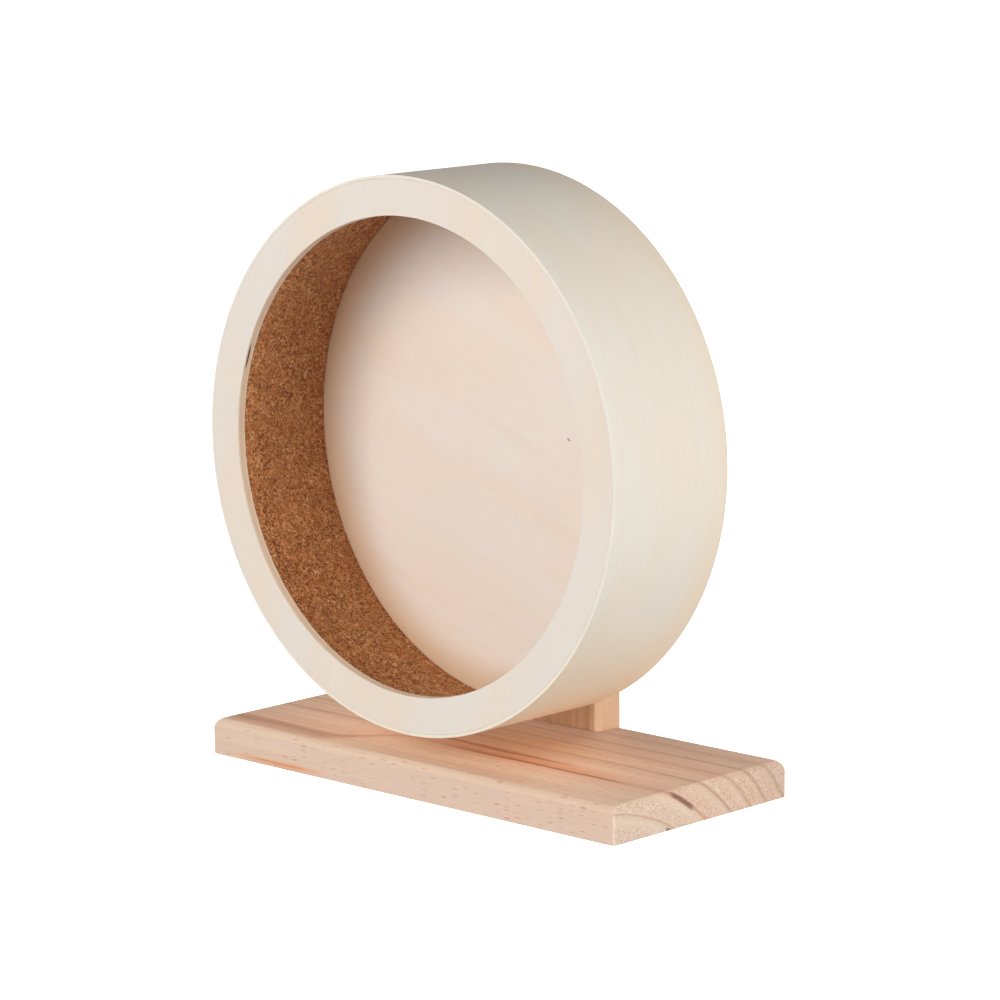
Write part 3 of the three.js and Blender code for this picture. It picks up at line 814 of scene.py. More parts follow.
def joined_shape(bm, tools, operation):
    """The bmesh with the tools' shapes cut from it or joined to it."""
    shapes = []
    for shape in (bm, *tools):
        mesh = bpy.data.meshes.new("rough_shape")
        shape.to_mesh(mesh)
        shape.free()
        shapes.append(bpy.data.objects.new("rough_shape", mesh))
        bpy.context.scene.collection.objects.link(shapes[-1])
    body = shapes[0]
    for tool in shapes[1:]:
        bite = body.modifiers.new("bite", "BOOLEAN")
        bite.operation = operation
        bite.solver = "EXACT"
        bite.use_self = operation == "DIFFERENCE"
        bite.object = tool
    seen = body.evaluated_get(bpy.context.evaluated_depsgraph_get())
    result = bmesh.new()
    result.from_mesh(seen.to_mesh())
    for shape in shapes:
        mesh = shape.data
        bpy.data.objects.remove(shape)
        bpy.data.meshes.remove(mesh)
    bmesh.ops.remove_doubles(result, verts=result.verts, dist=WELD)
    return result


def gathered(shapes):
    """One bmesh that holds several shapes, which may cross each other."""
    whole = bmesh.new()
    for shape in shapes:
        mesh = bpy.data.meshes.new("rough_shape")
        shape.to_mesh(mesh)
        shape.free()
        whole.from_mesh(mesh)
        bpy.data.meshes.remove(mesh)
    return whole


def cut(bm, *tools):
    return joined_shape(bm, [gathered(tools)], "DIFFERENCE")


def fused(bm, *tools):
    return joined_shape(bm, tools, "UNION")


def moved(bm, matrix):
    bmesh.ops.transform(bm, matrix=matrix, verts=bm.verts)
    return bm


def on_axle(bm):
    return moved(bm, Matrix.Translation(AXLE_LINE))


def sliced(bm, point, normal, clear_outer=False):
    """Cuts every edge and face along a plane, and may clear what lies past it."""
    geom = bm.verts[:] + bm.edges[:] + bm.faces[:]
    bmesh.ops.bisect_plane(bm, geom=geom, plane_co=point, plane_no=normal, clear_outer=clear_outer)


def closed(bm):
    """Fills the open ends."""
    bmesh.ops.holes_fill(bm, edges=[e for e in bm.edges if len(e.link_faces) == 1], sides=0)
    return bm


materials = {}


def piece(bm, name, node, finish, smooth_below=35):
    """The bmesh becomes a piece that stands for a CAD node and rides on its body."""
    if finish not in materials:
        materials[finish] = finish()
    mesh = bpy.data.meshes.new(name)
    bm.to_mesh(mesh)
    bm.free()
    mesh.shade_smooth()
    mesh.set_sharp_from_angle(angle=math.radians(smooth_below))
    mesh.materials.append(materials[finish])
    made = bpy.data.objects.new(name, mesh)
    shading = made.modifiers.new("flat_faces_shade_flat", "WEIGHTED_NORMAL")
    shading.keep_sharp = True
    bpy.context.scene.collection.objects.link(made)
    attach(made, frame["nodes"][node]["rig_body"])
    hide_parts(node)
    return made


# ---------------------------------------------------------------- drum


def rim_hoop():
    """The bent strip, glued round the ring and the disc."""
    front, back = along_axle("rim_shell")
    inner = radius_of("front_ring") + GLUE_LINE
    bm = turned(ring(inner, RIM_RADIUS, front, back), DRUM_STEPS)
    return ease(bm, PLY_EASE, 2, lambda e: all(axle_distance(v) > RIM_RADIUS - WELD for v in e.verts))


# the narrow gap in the ring's core: its turn about the axle, and half its depth into the wood,
# half its width across the veneers and half its length
SLIT_TURN = math.radians(160.3)
SLIT_HALF = Vector((3.2, 0.45, 7)) * MM


def slit_depth():
    """The y of the gap in the ring's core, a third of the way through its thickness."""
    front, back = along_axle("front_ring")
    return front + 0.36 * (back - front)


def ring_birch():
    front, back = along_axle("front_ring")
    layers = {"from": front, "to": back, "stops": ply_stops()}
    gap = {"turn": SLIT_TURN, "y": slit_depth(), "half_length": SLIT_HALF.z, "half_width": SLIT_HALF.y}
    tones = (colour(222, 213, 203), colour(225, 209, 192))
    return birch("ring_birch", math.radians(78), tones, 0.5, layers, gap=gap)


def disc_birch():
    tones = (colour(232, 222, 211), colour(233, 217, 202))
    mark = (39.5 * MM, 176 * MM)
    # shaded_from: from this radius out, the disc's inside face is painted with shade and warm bounce light
    # from the cork
    return birch("disc_birch", math.radians(-20), tones, 0.8, fleck=mark, shaded_from=112 * MM)


def mouth_ring():
    """The ring round the drum's mouth, with the narrow gap in its core that its sawn edge shows."""
    front, back = along_axle("front_ring")
    outer = radius_of("front_ring")
    opening = outer - RING_WIDTH
    bm = turned(ring(opening, outer, front, back), DRUM_STEPS)
    ease(bm, PLY_EASE, 2, lambda e: all(axle_distance(v) < opening + WELD for v in e.verts))
    gap = bmesh.new()
    bmesh.ops.create_uvsphere(gap, u_segments=24, v_segments=16, radius=1)
    bmesh.ops.scale(gap, verts=gap.verts, vec=SLIT_HALF)
    on_edge = Matrix.Rotation(-SLIT_TURN, 4, "Y") @ Matrix.Translation((opening, slit_depth(), 0))
    return cut(bm, moved(gap, Matrix.Translation(AXLE_LINE) @ on_edge))


CORK_JOINT = 0.4 * MM
CORK_STEPS = 720


def cork_strip():
    """A flat strip of cork, bent to a hoop with its ends meeting at the top. Its UV map keeps the
    flat strip's own lengths."""
    front, back = along_axle("cork_lining")
    outer = radius_of("cork_lining")
    inner = outer - CORK_THICK
    length = FULL_TURN * inner - CORK_JOINT
    flat = block(Vector((0, front, 0)), Vector((length, back, CORK_THICK)))
    ease(flat, 0.25 * MM)
    for i in range(1, CORK_STEPS):
        sliced(flat, (length * i / CORK_STEPS, 0, 0), (1, 0, 0))
    lengths = flat.loops.layers.uv.new("unrolled")
    for face in flat.faces:
        for loop in face.loops:
            loop[lengths].uv = (loop.vert.co.x + loop.vert.co.z, loop.vert.co.y)
    start = math.pi / 2 + CORK_JOINT / 2 / inner
    for v in flat.verts:
        turn = start + v.co.x / inner
        radius = inner + v.co.z
        v.co = (radius * math.cos(turn), v.co.y, AXLE_Z + radius * math.sin(turn))
    bmesh.ops.reverse_faces(flat, faces=flat.faces)
    return flat


def back_panel():
    front, back = along_axle("back_disc")
    return ease(turned(rod(radius_of("back_disc"), front, back), DRUM_STEPS), PLY_EASE)


# ---------------------------------------------------------------- wood screws


@dataclass
class WoodScrew:
    """A countersunk wood screw: the radii of its head, neck and core, its thread's pitch, its
    tip's length, its cross recess's width, reach and depth, and its whole length."""

    head: float
    neck: float
    core: float
    pitch: float
    tip: float
    cross_width: float
    cross_reach: float
    cross_depth: float
    length: float


def thread(crest, root, pitch, start, end, steps):
    """A screw thread about the Y axis from start to end: one pitch of its outline, spun along a
    helix, and sawn off square at both ends."""
    turns = math.ceil((end - start) / pitch) + 2
    outline = [(root, 0), (crest, 0.42 * pitch), (crest, 0.58 * pitch), (root, pitch)]
    bm = bmesh.new()
    corners = [bm.verts.new((radius, start - pitch + y, 0)) for radius, y in outline]
    for first, second in zip(corners, corners[1:]):
        bm.edges.new((first, second))
    bmesh.ops.spin(
        bm,
        geom=bm.verts[:] + bm.edges[:],
        cent=(0, 0, 0),
        axis=(0, 1, 0),
        dvec=(0, pitch / steps, 0),
        angle=FULL_TURN * turns,
        steps=steps * turns,
    )
    bmesh.ops.remove_doubles(bm, verts=bm.verts, dist=WELD)
    sliced(bm, (0, start, 0), (0, -1, 0), clear_outer=True)
    sliced(bm, (0, end, 0), (0, 1, 0), clear_outer=True)
    closed(bm)
    bmesh.ops.recalc_face_normals(bm, faces=bm.faces)
    return bm


HEAD_LIP = 0.25 * MM
RECESS_TAPER = 0.55


def wood_screw(screw):
    """A screw along Y, its head's flat face at y = 0 and its tip at -length."""
    head_depth = screw.head - screw.neck
    shank = turned(
        [
            (0, -screw.length),
            (screw.core, -screw.length + screw.tip),
            (screw.core, -screw.length / 2),
            (screw.neck, -screw.length / 2 + 1 * MM),
            (screw.neck, -head_depth - HEAD_LIP),
            (screw.head, -HEAD_LIP),
            (screw.head, 0),
            (0, 0),
        ],
        SCREW_STEPS,
        ORIGIN,
    )
    ease(shank, 0.12 * MM, 2, lambda e: all(v.co.y > -WELD for v in e.verts))
    thread_start = -screw.length + screw.tip * 0.4
    thread_end = -screw.length / 2 + 0.3 * MM
    ridge = thread(screw.neck, screw.core * 0.9, screw.pitch, thread_start, thread_end, SCREW_STEPS)
    for v in ridge.verts:
        depth = v.co.y + screw.length
        taper = min(1.0, 0.15 + 0.85 * depth / screw.tip)
        v.co.x *= taper
        v.co.z *= taper
    reach, width, depth = screw.cross_reach / 2, screw.cross_width / 2, screw.cross_depth
    slots = []
    for across, along in ((reach, width), (width, reach)):
        slot = block(Vector((-across, -depth, -along)), Vector((across, depth, along)))
        for v in slot.verts:
            if v.co.y < 0:
                v.co.x *= RECESS_TAPER if across == reach else 1
                v.co.z *= RECESS_TAPER if along == reach else 1
        slots.append(slot)
    return fused(cut(shank, *slots), ridge)


def screw_room(screw, gap, sink):
    """The hole that a screw stands in: its own outline with a gap round it, open at the head."""
    head_depth = screw.head - screw.neck
    return turned(
        [
            (0, -screw.length - gap),
            (screw.core + gap, -screw.length + screw.tip),
            (screw.neck + gap, -screw.length + screw.tip + 1 * MM),
            (screw.neck + gap, -head_depth - gap),
            (screw.head + gap, -gap),
            (screw.head + gap, sink + 1 * MM),
            (0, sink + 1 * MM),
        ],
        ROOM_STEPS,
        ORIGIN,
    )


HUB_SCREW = WoodScrew(
    head=3.3 * MM,
    neck=1.7 * MM,
    core=1.1 * MM,
    pitch=1.6 * MM,
    tip=3 * MM,
    cross_width=0.9 * MM,
    cross_reach=3.6 * MM,
    cross_depth=1.8 * MM,
    length=20 * MM,
)
POST_SCREW = WoodScrew(
    head=4 * MM,
    neck=2 * MM,
    core=1.3 * MM,
    pitch=1.8 * MM,
    tip=4 * MM,
    cross_width=1.1 * MM,
    cross_reach=4.4 * MM,
    cross_depth=2.2 * MM,
    length=50 * MM,
)
SCREW_GAP = 0.3 * MM


def hub_screw_places():
    """Each hub screw's name and the matrix that seats it: head towards +Y."""
    places = {}
    for number in range(1, 5):
        low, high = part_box(f"hub_screw_{number}")
        head = ((low.x + high.x) / 2, high.y, (low.z + high.z) / 2)
        places[f"hub_screw_{number}"] = Matrix.Translation(head)
    return places


def post_screw_places():
    """Each post screw's name and the matrix that seats it: head down."""
    places = {}
    head_down = Matrix.Rotation(math.radians(-90), 4, "X")
    for side in ("left", "right"):
        low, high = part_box(f"post_screw_{side}")
        foot = Matrix.Translation(((low.x + high.x) / 2, (low.y + high.y) / 2, low.z))
        places[f"post_screw_{side}"] = foot @ head_down
    return places


# ---------------------------------------------------------------- hub

HUB_SINK = 2 * MM
HUB_EDGE_ROUND = 2 * MM
HEX_FLATS = 13 * MM
BOLT_RADIUS = 4 * MM
BOLT_HEAD_HEIGHT = 5.3 * MM


def hexagon_radius(flats, turn):
    """How far out a hexagon's side lies at an angle from one of its corners."""
    sixth = FULL_TURN / 6
    return flats / 2 / math.cos((turn % sixth) - sixth / 2)


def hub_boss():
    """The round block behind the disc: bored for the bolt, pocketed for its head, and with its
    four screws sunk below its back face."""
    front, back = along_axle("hub_block")
    radius = radius_of("hub_block")
    body = turned(rod(radius, front, back), HUB_STEPS)
    ease(body, HUB_EDGE_ROUND, 6, lambda e: all(v.co.y > back - WELD for v in e.verts))
    bore = turned(rod(BOLT_RADIUS + BORE_GAP, front - 1 * MM, back + 1 * MM), BOLT_STEPS)
    bolt_front = along_axle("axle_bolt")[0]
    pocket_back = bolt_front + BOLT_HEAD_HEIGHT + SEAT_GAP
    room = HEX_FLATS + 2 * BORE_GAP
    pocket = lofted(
        [
            lambda a: (0.5 * MM, front - 1 * MM),
            lambda a: (hexagon_radius(room, a), front - 1 * MM),
            lambda a: (hexagon_radius(room, a), pocket_back),
            lambda a: (0.5 * MM, pocket_back),
        ],
        ROOM_STEPS,
    )
    on_axle(pocket)
    rooms = [moved(screw_room(HUB_SCREW, SCREW_GAP, HUB_SINK), m) for m in hub_screw_places().values()]
    return cut(body, *rooms, pocket, bore)


# ---------------------------------------------------------------- axle bolt, nuts and washers

CHAMFER_SLOPE = 0.6
HEX_CORNERS = 48
THREAD_PITCH = 1.25 * MM
THREAD_DEPTH = 0.72 * MM
BORE_EASE = 0.4 * MM
NUT_BORE = BOLT_RADIUS + 0.1 * MM
COLLAR_RADIUS = 6.1 * MM
COLLAR_START = 6.2 * MM


def face_radius(flats):
    """How far out a hexagon's flat end face goes before the cone takes its corners off."""
    return flats / 2 - 0.1 * MM


def chamfered(flats, y, way):
    """The edge where that cone meets a hexagon's sides, for lofted()."""

    def place(turn):
        radius = hexagon_radius(flats, turn)
        return radius, y + way * (radius - face_radius(flats)) * CHAMFER_SLOPE

    return place


def hexagon_sleeve(flats, start, end, bore):
    """A hexagon about the axle with its corners taken off by a cone at both faces, and a bore."""
    return lofted(
        [
            lambda a: (bore + BORE_EASE, start),
            lambda a: (face_radius(flats), start),
            chamfered(flats, start, 1),
            chamfered(flats, end, -1),
            lambda a: (face_radius(flats), end),
            lambda a: (bore + BORE_EASE, end),
            lambda a: (bore, end - BORE_EASE),
            lambda a: (bore, start + BORE_EASE),
        ],
        HEX_CORNERS,
    )


def axle_bolt():
    front, tip = along_axle("axle_bolt")
    head_back = front + BOLT_HEAD_HEIGHT
    head = hexagon_sleeve(HEX_FLATS, front, head_back, 1 * MM)
    core = turned(rod(2.4 * MM, front + 0.6 * MM, head_back + 3 * MM), BOLT_STEPS, ORIGIN)
    root = BOLT_RADIUS - THREAD_DEPTH
    shank = thread(BOLT_RADIUS, root, THREAD_PITCH, head_back - 0.4 * MM, tip, BOLT_STEPS)
    for v in shank.verts:
        reach = math.hypot(v.co.x, v.co.z)
        limit = BOLT_RADIUS - max(0.0, v.co.y - (tip - 1 * MM))
        if reach > limit:
            v.co.x *= limit / reach
            v.co.z *= limit / reach
    return on_axle(fused(shank, head, core))


def thin_nut():
    start, end = along_axle("thin_lock_nut")
    return on_axle(hexagon_sleeve(HEX_FLATS, start, end, NUT_BORE))


def locking_nut():
    """A nut with a round collar that holds a nylon ring."""
    start, end = along_axle("stop_nut")
    seat = along_axle("stop_nut_nylon_ring")[0] - SEAT_GAP
    ring_radius = radius_of("stop_nut_nylon_ring") + SEAT_GAP
    shoulder = start + COLLAR_START
    rings = [
        lambda a: (NUT_BORE + BORE_EASE, start),
        lambda a: (face_radius(HEX_FLATS), start),
        chamfered(HEX_FLATS, start, 1),
        chamfered(HEX_FLATS, shoulder, -1),
        lambda a: (face_radius(HEX_FLATS), shoulder),
        lambda a: (COLLAR_RADIUS, shoulder),
        lambda a: (COLLAR_RADIUS, end - 0.9 * MM),
        lambda a: (COLLAR_RADIUS - 0.12 * MM, end - 0.45 * MM),
        lambda a: (COLLAR_RADIUS - 0.45 * MM, end - 0.1 * MM),
        lambda a: (ring_radius + 0.1 * MM, end),
        lambda a: (ring_radius, end - 0.1 * MM),
        lambda a: (ring_radius, seat),
        lambda a: (NUT_BORE, seat),
        lambda a: (NUT_BORE, start + BORE_EASE),
    ]
    return on_axle(lofted(rings, HEX_CORNERS * 2))


def axle_ring(node):
    """A plain ring on the axle, as wide and as long as its node."""
    start, end = along_axle(node)
    return ease(turned(ring(NUT_BORE, radius_of(node), start, end), BEARING_STEPS), 0.2 * MM)


# ---------------------------------------------------------------- ball bearings

BALL_RADIUS = 1.985 * MM
BALL_CIRCLE = 7.5 * MM
BALL_GAP = 0.15 * MM
INNER_SHOULDER = 6.1 * MM
OUTER_SHOULDER = 8.9 * MM
INNER_BORE = 4.1 * MM
SHIELD_ROOM = 9.4 * MM
BALL_COUNT = 7
GROOVE_STEPS = 14


def groove_angle(shoulder):
    """Where the ball groove meets a race's shoulder, in degrees seen from the ball's centre."""
    return math.degrees(math.acos(abs(shoulder - BALL_CIRCLE) / (BALL_RADIUS + BALL_GAP)))


def inner_race(node):
    start, end = along_axle(node)
    middle = (start + end) / 2
    turn = groove_angle(INNER_SHOULDER)
    groove = arc((BALL_CIRCLE, middle), BALL_RADIUS + BALL_GAP, 180 + turn, 180 - turn, GROOVE_STEPS)
    front_face = [(INNER_BORE, start), (INNER_SHOULDER, start)]
    back_face = [(INNER_SHOULDER, end), (INNER_BORE, end)]
    return ease(turned([*front_face, *groove, *back_face], BEARING_STEPS), 0.12 * MM)


def outer_race(node):
    start, end = along_axle(node)
    middle = (start + end) / 2
    radius = radius_of(node)
    turn = groove_angle(OUTER_SHOULDER)
    groove = arc((BALL_CIRCLE, middle), BALL_RADIUS + BALL_GAP, turn, -turn, GROOVE_STEPS)
    half = (end - start) / 2
    slot = [
        (OUTER_SHOULDER + 0.1 * MM, half),
        (SHIELD_ROOM, half - 0.25 * MM),
        (SHIELD_ROOM, half - 0.72 * MM),
        (OUTER_SHOULDER, half - 0.72 * MM),
    ]
    above = [(r, middle + y) for r, y in slot]
    below = [(r, middle - y) for r, y in reversed(slot)]
    profile = [(radius, start), (radius, end), *above, *groove, *below]
    on_rim = lambda e: all(axle_distance(v) > radius - WELD for v in e.verts)
    return ease(turned(profile, BEARING_STEPS), 0.35 * MM, 3, on_rim)


def shield(node):
    """A pressed shield: flat, with a shallow ridge round its middle."""
    start, end = along_axle(node)
    radius = radius_of(node)
    bore = INNER_SHOULDER + 0.3 * MM
    thick = (end - start) * 0.62
    outward = end if end > sum(along_axle(node.split("_")[0] + "_outer_race")) / 2 else start
    inward = start + end - outward
    way = 1 if outward > inward else -1
    lip = [(bore, outward - way * thick), (bore, outward)]
    ridge = (bore + radius) / 2
    profile = [
        *lip,
        (ridge - 0.5 * MM, outward),
        (ridge - 0.3 * MM, inward + way * thick),
        (ridge + 0.3 * MM, inward + way * thick),
        (ridge + 0.5 * MM, outward),
        (radius, outward),
        (radius, outward - way * thick),
        (ridge + 0.5 * MM, outward - way * thick),
        (ridge + 0.3 * MM, inward),
        (ridge - 0.3 * MM, inward),
        (ridge - 0.5 * MM, outward - way * thick),
    ]
    return turned(profile, BEARING_STEPS)


def ball(node):
    low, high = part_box(node)
    bm = bmesh.new()
    bmesh.ops.create_uvsphere(bm, u_segments=32, v_segments=20, radius=BALL_RADIUS)
    bmesh.ops.translate(bm, verts=bm.verts, vec=(low + high) / 2)
    return bm


def ball_cage(node, side):
    """A snap-in cage: a ring with a round pocket for each ball, open on one side."""
    start, end = along_axle(node)
    body = turned(ring(BALL_CIRCLE - 0.75 * MM, BALL_CIRCLE + 0.75 * MM, start, end), BEARING_STEPS)
    ease(body, 0.15 * MM)
    pockets = []
    for number in range(1, BALL_COUNT + 1):
        low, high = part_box(f"{side}_ball_{number}")
        pocket = bmesh.new()
        bmesh.ops.create_uvsphere(pocket, u_segments=28, v_segments=18, radius=BALL_RADIUS + BALL_GAP)
        bmesh.ops.translate(pocket, verts=pocket.verts, vec=(low + high) / 2)
        pockets.append(pocket)
    return cut(body, *pockets)


# ---------------------------------------------------------------- stand

CRISP = 15
BOARD_EDGE_ROUND = 5.6 * MM
PLANED_OFF = 0.45 * MM
BOARD_CORNER_ROUND = 1.5 * MM
BOARD_FOOT_EASE = 0.5 * MM
POST_CHAMFER = 2.8 * MM
POST_TOP_CORNER = 12 * MM
SCREW_SINK = 0.5 * MM
DOWEL_ROOM = 4.2 * MM
BEARING_ROOM = 11.2 * MM
BEARING_SEAT = 7.15 * MM
WEB_BORE = 9.3 * MM


def base_plank():
    """The base board: its top edges rounded over and mitred, then planed so that they meet the
    top in a crisp line, and its upright corners eased."""
    low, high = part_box("base_board")
    middle, half = (low + high) / 2, (high - low) / 2
    rough = high + Vector((0, 0, PLANED_OFF))
    bm = block(low, rough)
    bevel(bm, [e for e in bm.edges if all(v.co.z > rough.z - WELD for v in e.verts)], BOARD_EDGE_ROUND, 10)
    sliced(bm, high, (0, 0, 1), clear_outer=True)
    closed(bm)
    bevel(bm, [e for e in bm.edges if all(v.co.z < low.z + WELD for v in e.verts)], BOARD_FOOT_EASE, 2)

    def from_sides(vert):
        return half.x - abs(vert.co.x - middle.x), half.y - abs(vert.co.y - middle.y)

    def on_corner(edge):
        mitred = all(abs(from_sides(v)[0] - from_sides(v)[1]) < WELD for v in edge.verts)
        return mitred and edge.calc_length() < half.z * 2

    bevel(bm, [e for e in bm.edges if on_corner(e)], BOARD_CORNER_ROUND, 8)
    for v in bm.verts:
        v.co = [min(max(v.co[i], low[i]), high[i]) for i in range(3)]
    return cut(bm, *fixing_rooms())


def stood_up(bm, low, high):
    """A shape along Y, turned so that it stands along -Z, in the middle of a box."""
    moved(bm, Matrix.Rotation(math.radians(-90), 4, "X"))
    return moved(bm, Matrix.Translation(((low.x + high.x) / 2, (low.y + high.y) / 2, 0)))


def fixing_rooms():
    """The holes for the post's screws and dowels, in the board and the post alike."""
    rooms = [moved(screw_room(POST_SCREW, SCREW_GAP, SCREW_SINK), m) for m in post_screw_places().values()]
    for side in ("left", "right"):
        low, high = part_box(f"post_dowel_{side}")
        hole = rod(DOWEL_ROOM, -high.z - 1 * MM, -low.z + 1 * MM)
        rooms.append(stood_up(turned(hole, ROOM_STEPS, ORIGIN), low, high))
    return rooms


def post_board():
    """The upright: rounded top corners, its wide faces' edges chamfered, and the two bearings'
    seats."""
    low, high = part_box("upright_post")
    bm = block(low, high)

    def top_corner(edge):
        first, second = (v.co for v in edge.verts)
        return min(first.z, second.z) > high.z - WELD and abs(first.y - second.y) > WELD

    bevel(bm, [e for e in bm.edges if top_corner(e)], POST_TOP_CORNER, 12)

    def face_edge(edge):
        on_face = any(all(abs(v.co.y - y) < WELD for v in edge.verts) for y in (low.y, high.y))
        return on_face and not all(v.co.z < low.z + WELD for v in edge.verts)

    bevel(bm, [e for e in bm.edges if face_edge(e)], POST_CHAMFER, 1)
    seats = [
        turned(rod(BEARING_ROOM, low.y - 1 * MM, low.y + BEARING_SEAT), BEARING_STEPS),
        turned(rod(BEARING_ROOM, high.y - BEARING_SEAT, high.y + 1 * MM), BEARING_STEPS),
        turned(rod(WEB_BORE, low.y, high.y), BEARING_STEPS),
    ]
    return cut(bm, *fixing_rooms(), *seats)


FLUTE_COUNT = 14
FLUTE_DEPTH = 0.22 * MM


def fluted_dowel(side):
    """A beech dowel pin with grooves along it and chamfered ends."""
    low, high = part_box(f"post_dowel_{side}")
    radius = (high.x - low.x) / 2
    chamfer = 1 * MM

    def fluted(y, inset):
        return lambda a: (radius - inset - FLUTE_DEPTH * (0.5 + 0.5 * math.cos(FLUTE_COUNT * a)), y)

    top, foot = -low.z, -high.z
    rings = [
        lambda a: (0.4 * MM, foot),
        fluted(foot, chamfer),
        fluted(foot + chamfer, 0),
        fluted(top - chamfer, 0),
        fluted(top, chamfer),
        lambda a: (0.4 * MM, top),
    ]
    bm = lofted(rings, FLUTE_COUNT * 8)
    bmesh.ops.remove_doubles(bm, verts=bm.verts, dist=WELD)
    return stood_up(bm, low, high)


# ---------------------------------------------------------------- putting it together

piece(rim_hoop(), "rim_hoop", "rim_shell", rim_veneer)
piece(mouth_ring(), "mouth_ring", "front_ring", ring_birch)
piece(cork_strip(), "cork_strip", "cork_lining", pressed_cork)
piece(back_panel(), "back_panel", "back_disc", disc_birch)
piece(hub_boss(), "hub_boss", "hub_block", hub_pine)

hub_screw = wood_screw(HUB_SCREW)
for node, seat in hub_screw_places().items():
    piece(moved(hub_screw.copy(), seat), f"sunk_{node}", node, bright_zinc)
hub_screw.free()

piece(axle_bolt(), "threaded_axle_bolt", "axle_bolt", bright_zinc)
piece(thin_nut(), "thin_nut", "thin_lock_nut", bright_zinc)
piece(locking_nut(), "locking_nut", "stop_nut", bright_zinc)
piece(axle_ring("stop_nut_nylon_ring"), "nylon_ring", "stop_nut_nylon_ring", moulded_nylon)
for node in ("front_race_washer", "rear_race_washer", "inner_race_spacer"):
    piece(axle_ring(node), f"turned_{node}", node, bright_zinc)

for side in ("front", "rear"):
    piece(inner_race(f"{side}_inner_race"), f"ground_{side}_inner_race", f"{side}_inner_race", ground_steel)
    piece(outer_race(f"{side}_outer_race"), f"ground_{side}_outer_race", f"{side}_outer_race", ground_steel)
    for way in ("outward", "inward"):
        node = f"{side}_shield_{way}"
        piece(shield(node), f"pressed_{node}", node, ground_steel)
    cage = f"{side}_ball_cage"
    piece(ball_cage(cage, side), f"moulded_{cage}", cage, moulded_nylon)
    for number in range(1, BALL_COUNT + 1):
        node = f"{side}_ball_{number}"
        piece(ball(node), f"ground_{node}", node, ground_steel)

piece(base_plank(), "base_plank", "base_board", board_pine, CRISP)
piece(post_board(), "post_board", "upright_post", post_pine, CRISP)
post_screw = wood_screw(POST_SCREW)
for node, seat in post_screw_places().items():
    piece(moved(post_screw.copy(), seat), f"sunk_{node}", node, bright_zinc)
post_screw.free()
for side in ("left", "right"):
    piece(fluted_dowel(side), f"fluted_dowel_{side}", f"post_dowel_{side}", beech_dowel_wood)

# ---------------------------------------------------------------- studio

VIEW_TURN = math.radians(43.579)
VIEW_RISE = math.radians(10.196)
VIEW_ROLL = math.radians(-0.419)
VIEW_DISTANCE = 2056.3 * MM
VIEW_AIM = Vector((18.35, -12.57, 146.66)) * MM
LENS_MM = 148
SENSOR_MM = 36
FLOOR_SIZE = 40
FLOOR_GLOW = 1.0
BACKDROP_HEIGHT = 16
SKY_ABOVE = 0.06
SKY_BELOW = 0.26
SKY_BLEND = 0.05


@dataclass
class Softbox:
    """A soft light: the turn and rise of the direction that it stands in, in degrees, its distance
    from the wheel and its size in metres, and its power."""

    name: str
    turn: float
    rise: float
    distance: float
    size: float
    watts: float


SOFTBOXES = [
    Softbox("front_softbox", 3, 15, 3.2, 2.2, 95),
    Softbox("right_softbox", 91, 12, 3.2, 1.9, 76),
    Softbox("rear_softbox", 186, 5, 3.2, 1.9, 90),
    Softbox("left_softbox", 266, 5, 3.2, 1.9, 76),
]


def towards(turn, rise):
    """The direction from the wheel to something seen at that turn and rise."""
    return Vector((math.sin(turn) * math.cos(rise), -math.cos(turn) * math.cos(rise), math.sin(rise)))


def make_camera():
    camera = bpy.data.cameras.new("camera")
    camera.lens = LENS_MM
    camera.sensor_width = SENSOR_MM
    holder = bpy.data.objects.new("camera", camera)
    back = towards(VIEW_TURN, VIEW_RISE)
    looking = back.to_track_quat("Z", "Y") @ Matrix.Rotation(VIEW_ROLL, 4, "Z").to_quaternion()
    holder.matrix_world = Matrix.Translation(VIEW_AIM + back * VIEW_DISTANCE) @ looking.to_matrix().to_4x4()
    bpy.context.scene.collection.objects.link(holder)
    bpy.context.scene.camera = holder


def stage_piece(bm, name, mirrored):
    """A floor or wall of the studio, which throws no light or shadow on the wheel."""
    mesh = bpy.data.meshes.new(name)
    bm.to_mesh(mesh)
    bm.free()
    mesh.materials.append(bpy.data.materials.get("studio_floor") or studio_floor())
    made = bpy.data.objects.new(name, mesh)
    bpy.context.scene.collection.objects.link(made)
    made.visible_diffuse = False
    made.visible_glossy = mirrored
    made.visible_shadow = False


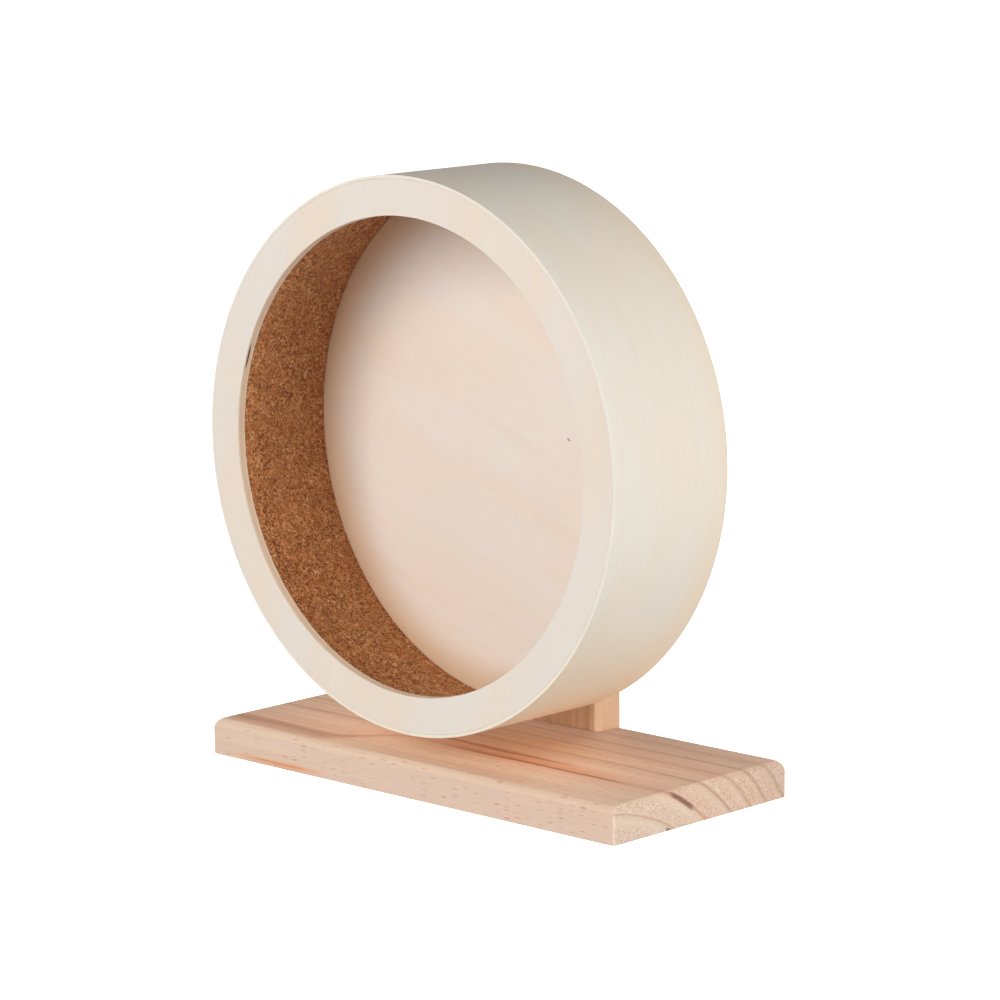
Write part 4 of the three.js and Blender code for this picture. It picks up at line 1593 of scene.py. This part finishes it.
def make_floor():
    floor = bmesh.new()
    bmesh.ops.create_grid(floor, x_segments=1, y_segments=1, size=FLOOR_SIZE / 2)
    stage_piece(floor, "studio_floor", True)


def make_backdrop():
    """A plain white wall round the floor, seen only by the camera."""
    wall = bmesh.new()
    bmesh.ops.create_circle(wall, segments=64, radius=FLOOR_SIZE / 2)
    raised = bmesh.ops.extrude_edge_only(wall, edges=wall.edges[:])["geom"]
    top = [g for g in raised if isinstance(g, bmesh.types.BMVert)]
    bmesh.ops.translate(wall, verts=top, vec=(0, 0, BACKDROP_HEIGHT))
    stage_piece(wall, "studio_backdrop", False)


def make_sky():
    """An even light from all round, stronger from below, as a white floor throws it back."""
    sky = bpy.data.worlds.new("soft_sky")
    sky.use_nodes = True
    tree = sky.node_tree
    place = tree.nodes.new("ShaderNodeTexCoord")
    height = tree.nodes.new("ShaderNodeSeparateXYZ")
    strength = tree.nodes.new("ShaderNodeMapRange")
    strength.inputs["From Min"].default_value = -SKY_BLEND
    strength.inputs["From Max"].default_value = SKY_BLEND
    strength.inputs["To Min"].default_value = SKY_BELOW
    strength.inputs["To Max"].default_value = SKY_ABOVE
    tree.links.new(place.outputs["Generated"], height.inputs[0])
    tree.links.new(height.outputs["Z"], strength.inputs["Value"])
    tree.nodes["Background"].inputs["Color"].default_value = (1, 1, 1, 1)
    tree.links.new(strength.outputs[0], tree.nodes["Background"].inputs["Strength"])
    bpy.context.scene.world = sky


def make_lights():
    middle = Vector((0, 0, AXLE_Z))
    for box in SOFTBOXES:
        light = bpy.data.lights.new(box.name, "AREA")
        light.size = box.size
        light.energy = box.watts
        holder = bpy.data.objects.new(box.name, light)
        way = towards(math.radians(box.turn), math.radians(box.rise))
        facing = way.to_track_quat("Z", "Y").to_matrix().to_4x4()
        holder.matrix_world = Matrix.Translation(middle + way * box.distance) @ facing
        holder.visible_camera = False
        bpy.context.scene.collection.objects.link(holder)


make_camera()
make_floor()
make_backdrop()
make_sky()
make_lights()
bpy.context.scene.view_settings.view_transform = "Standard"
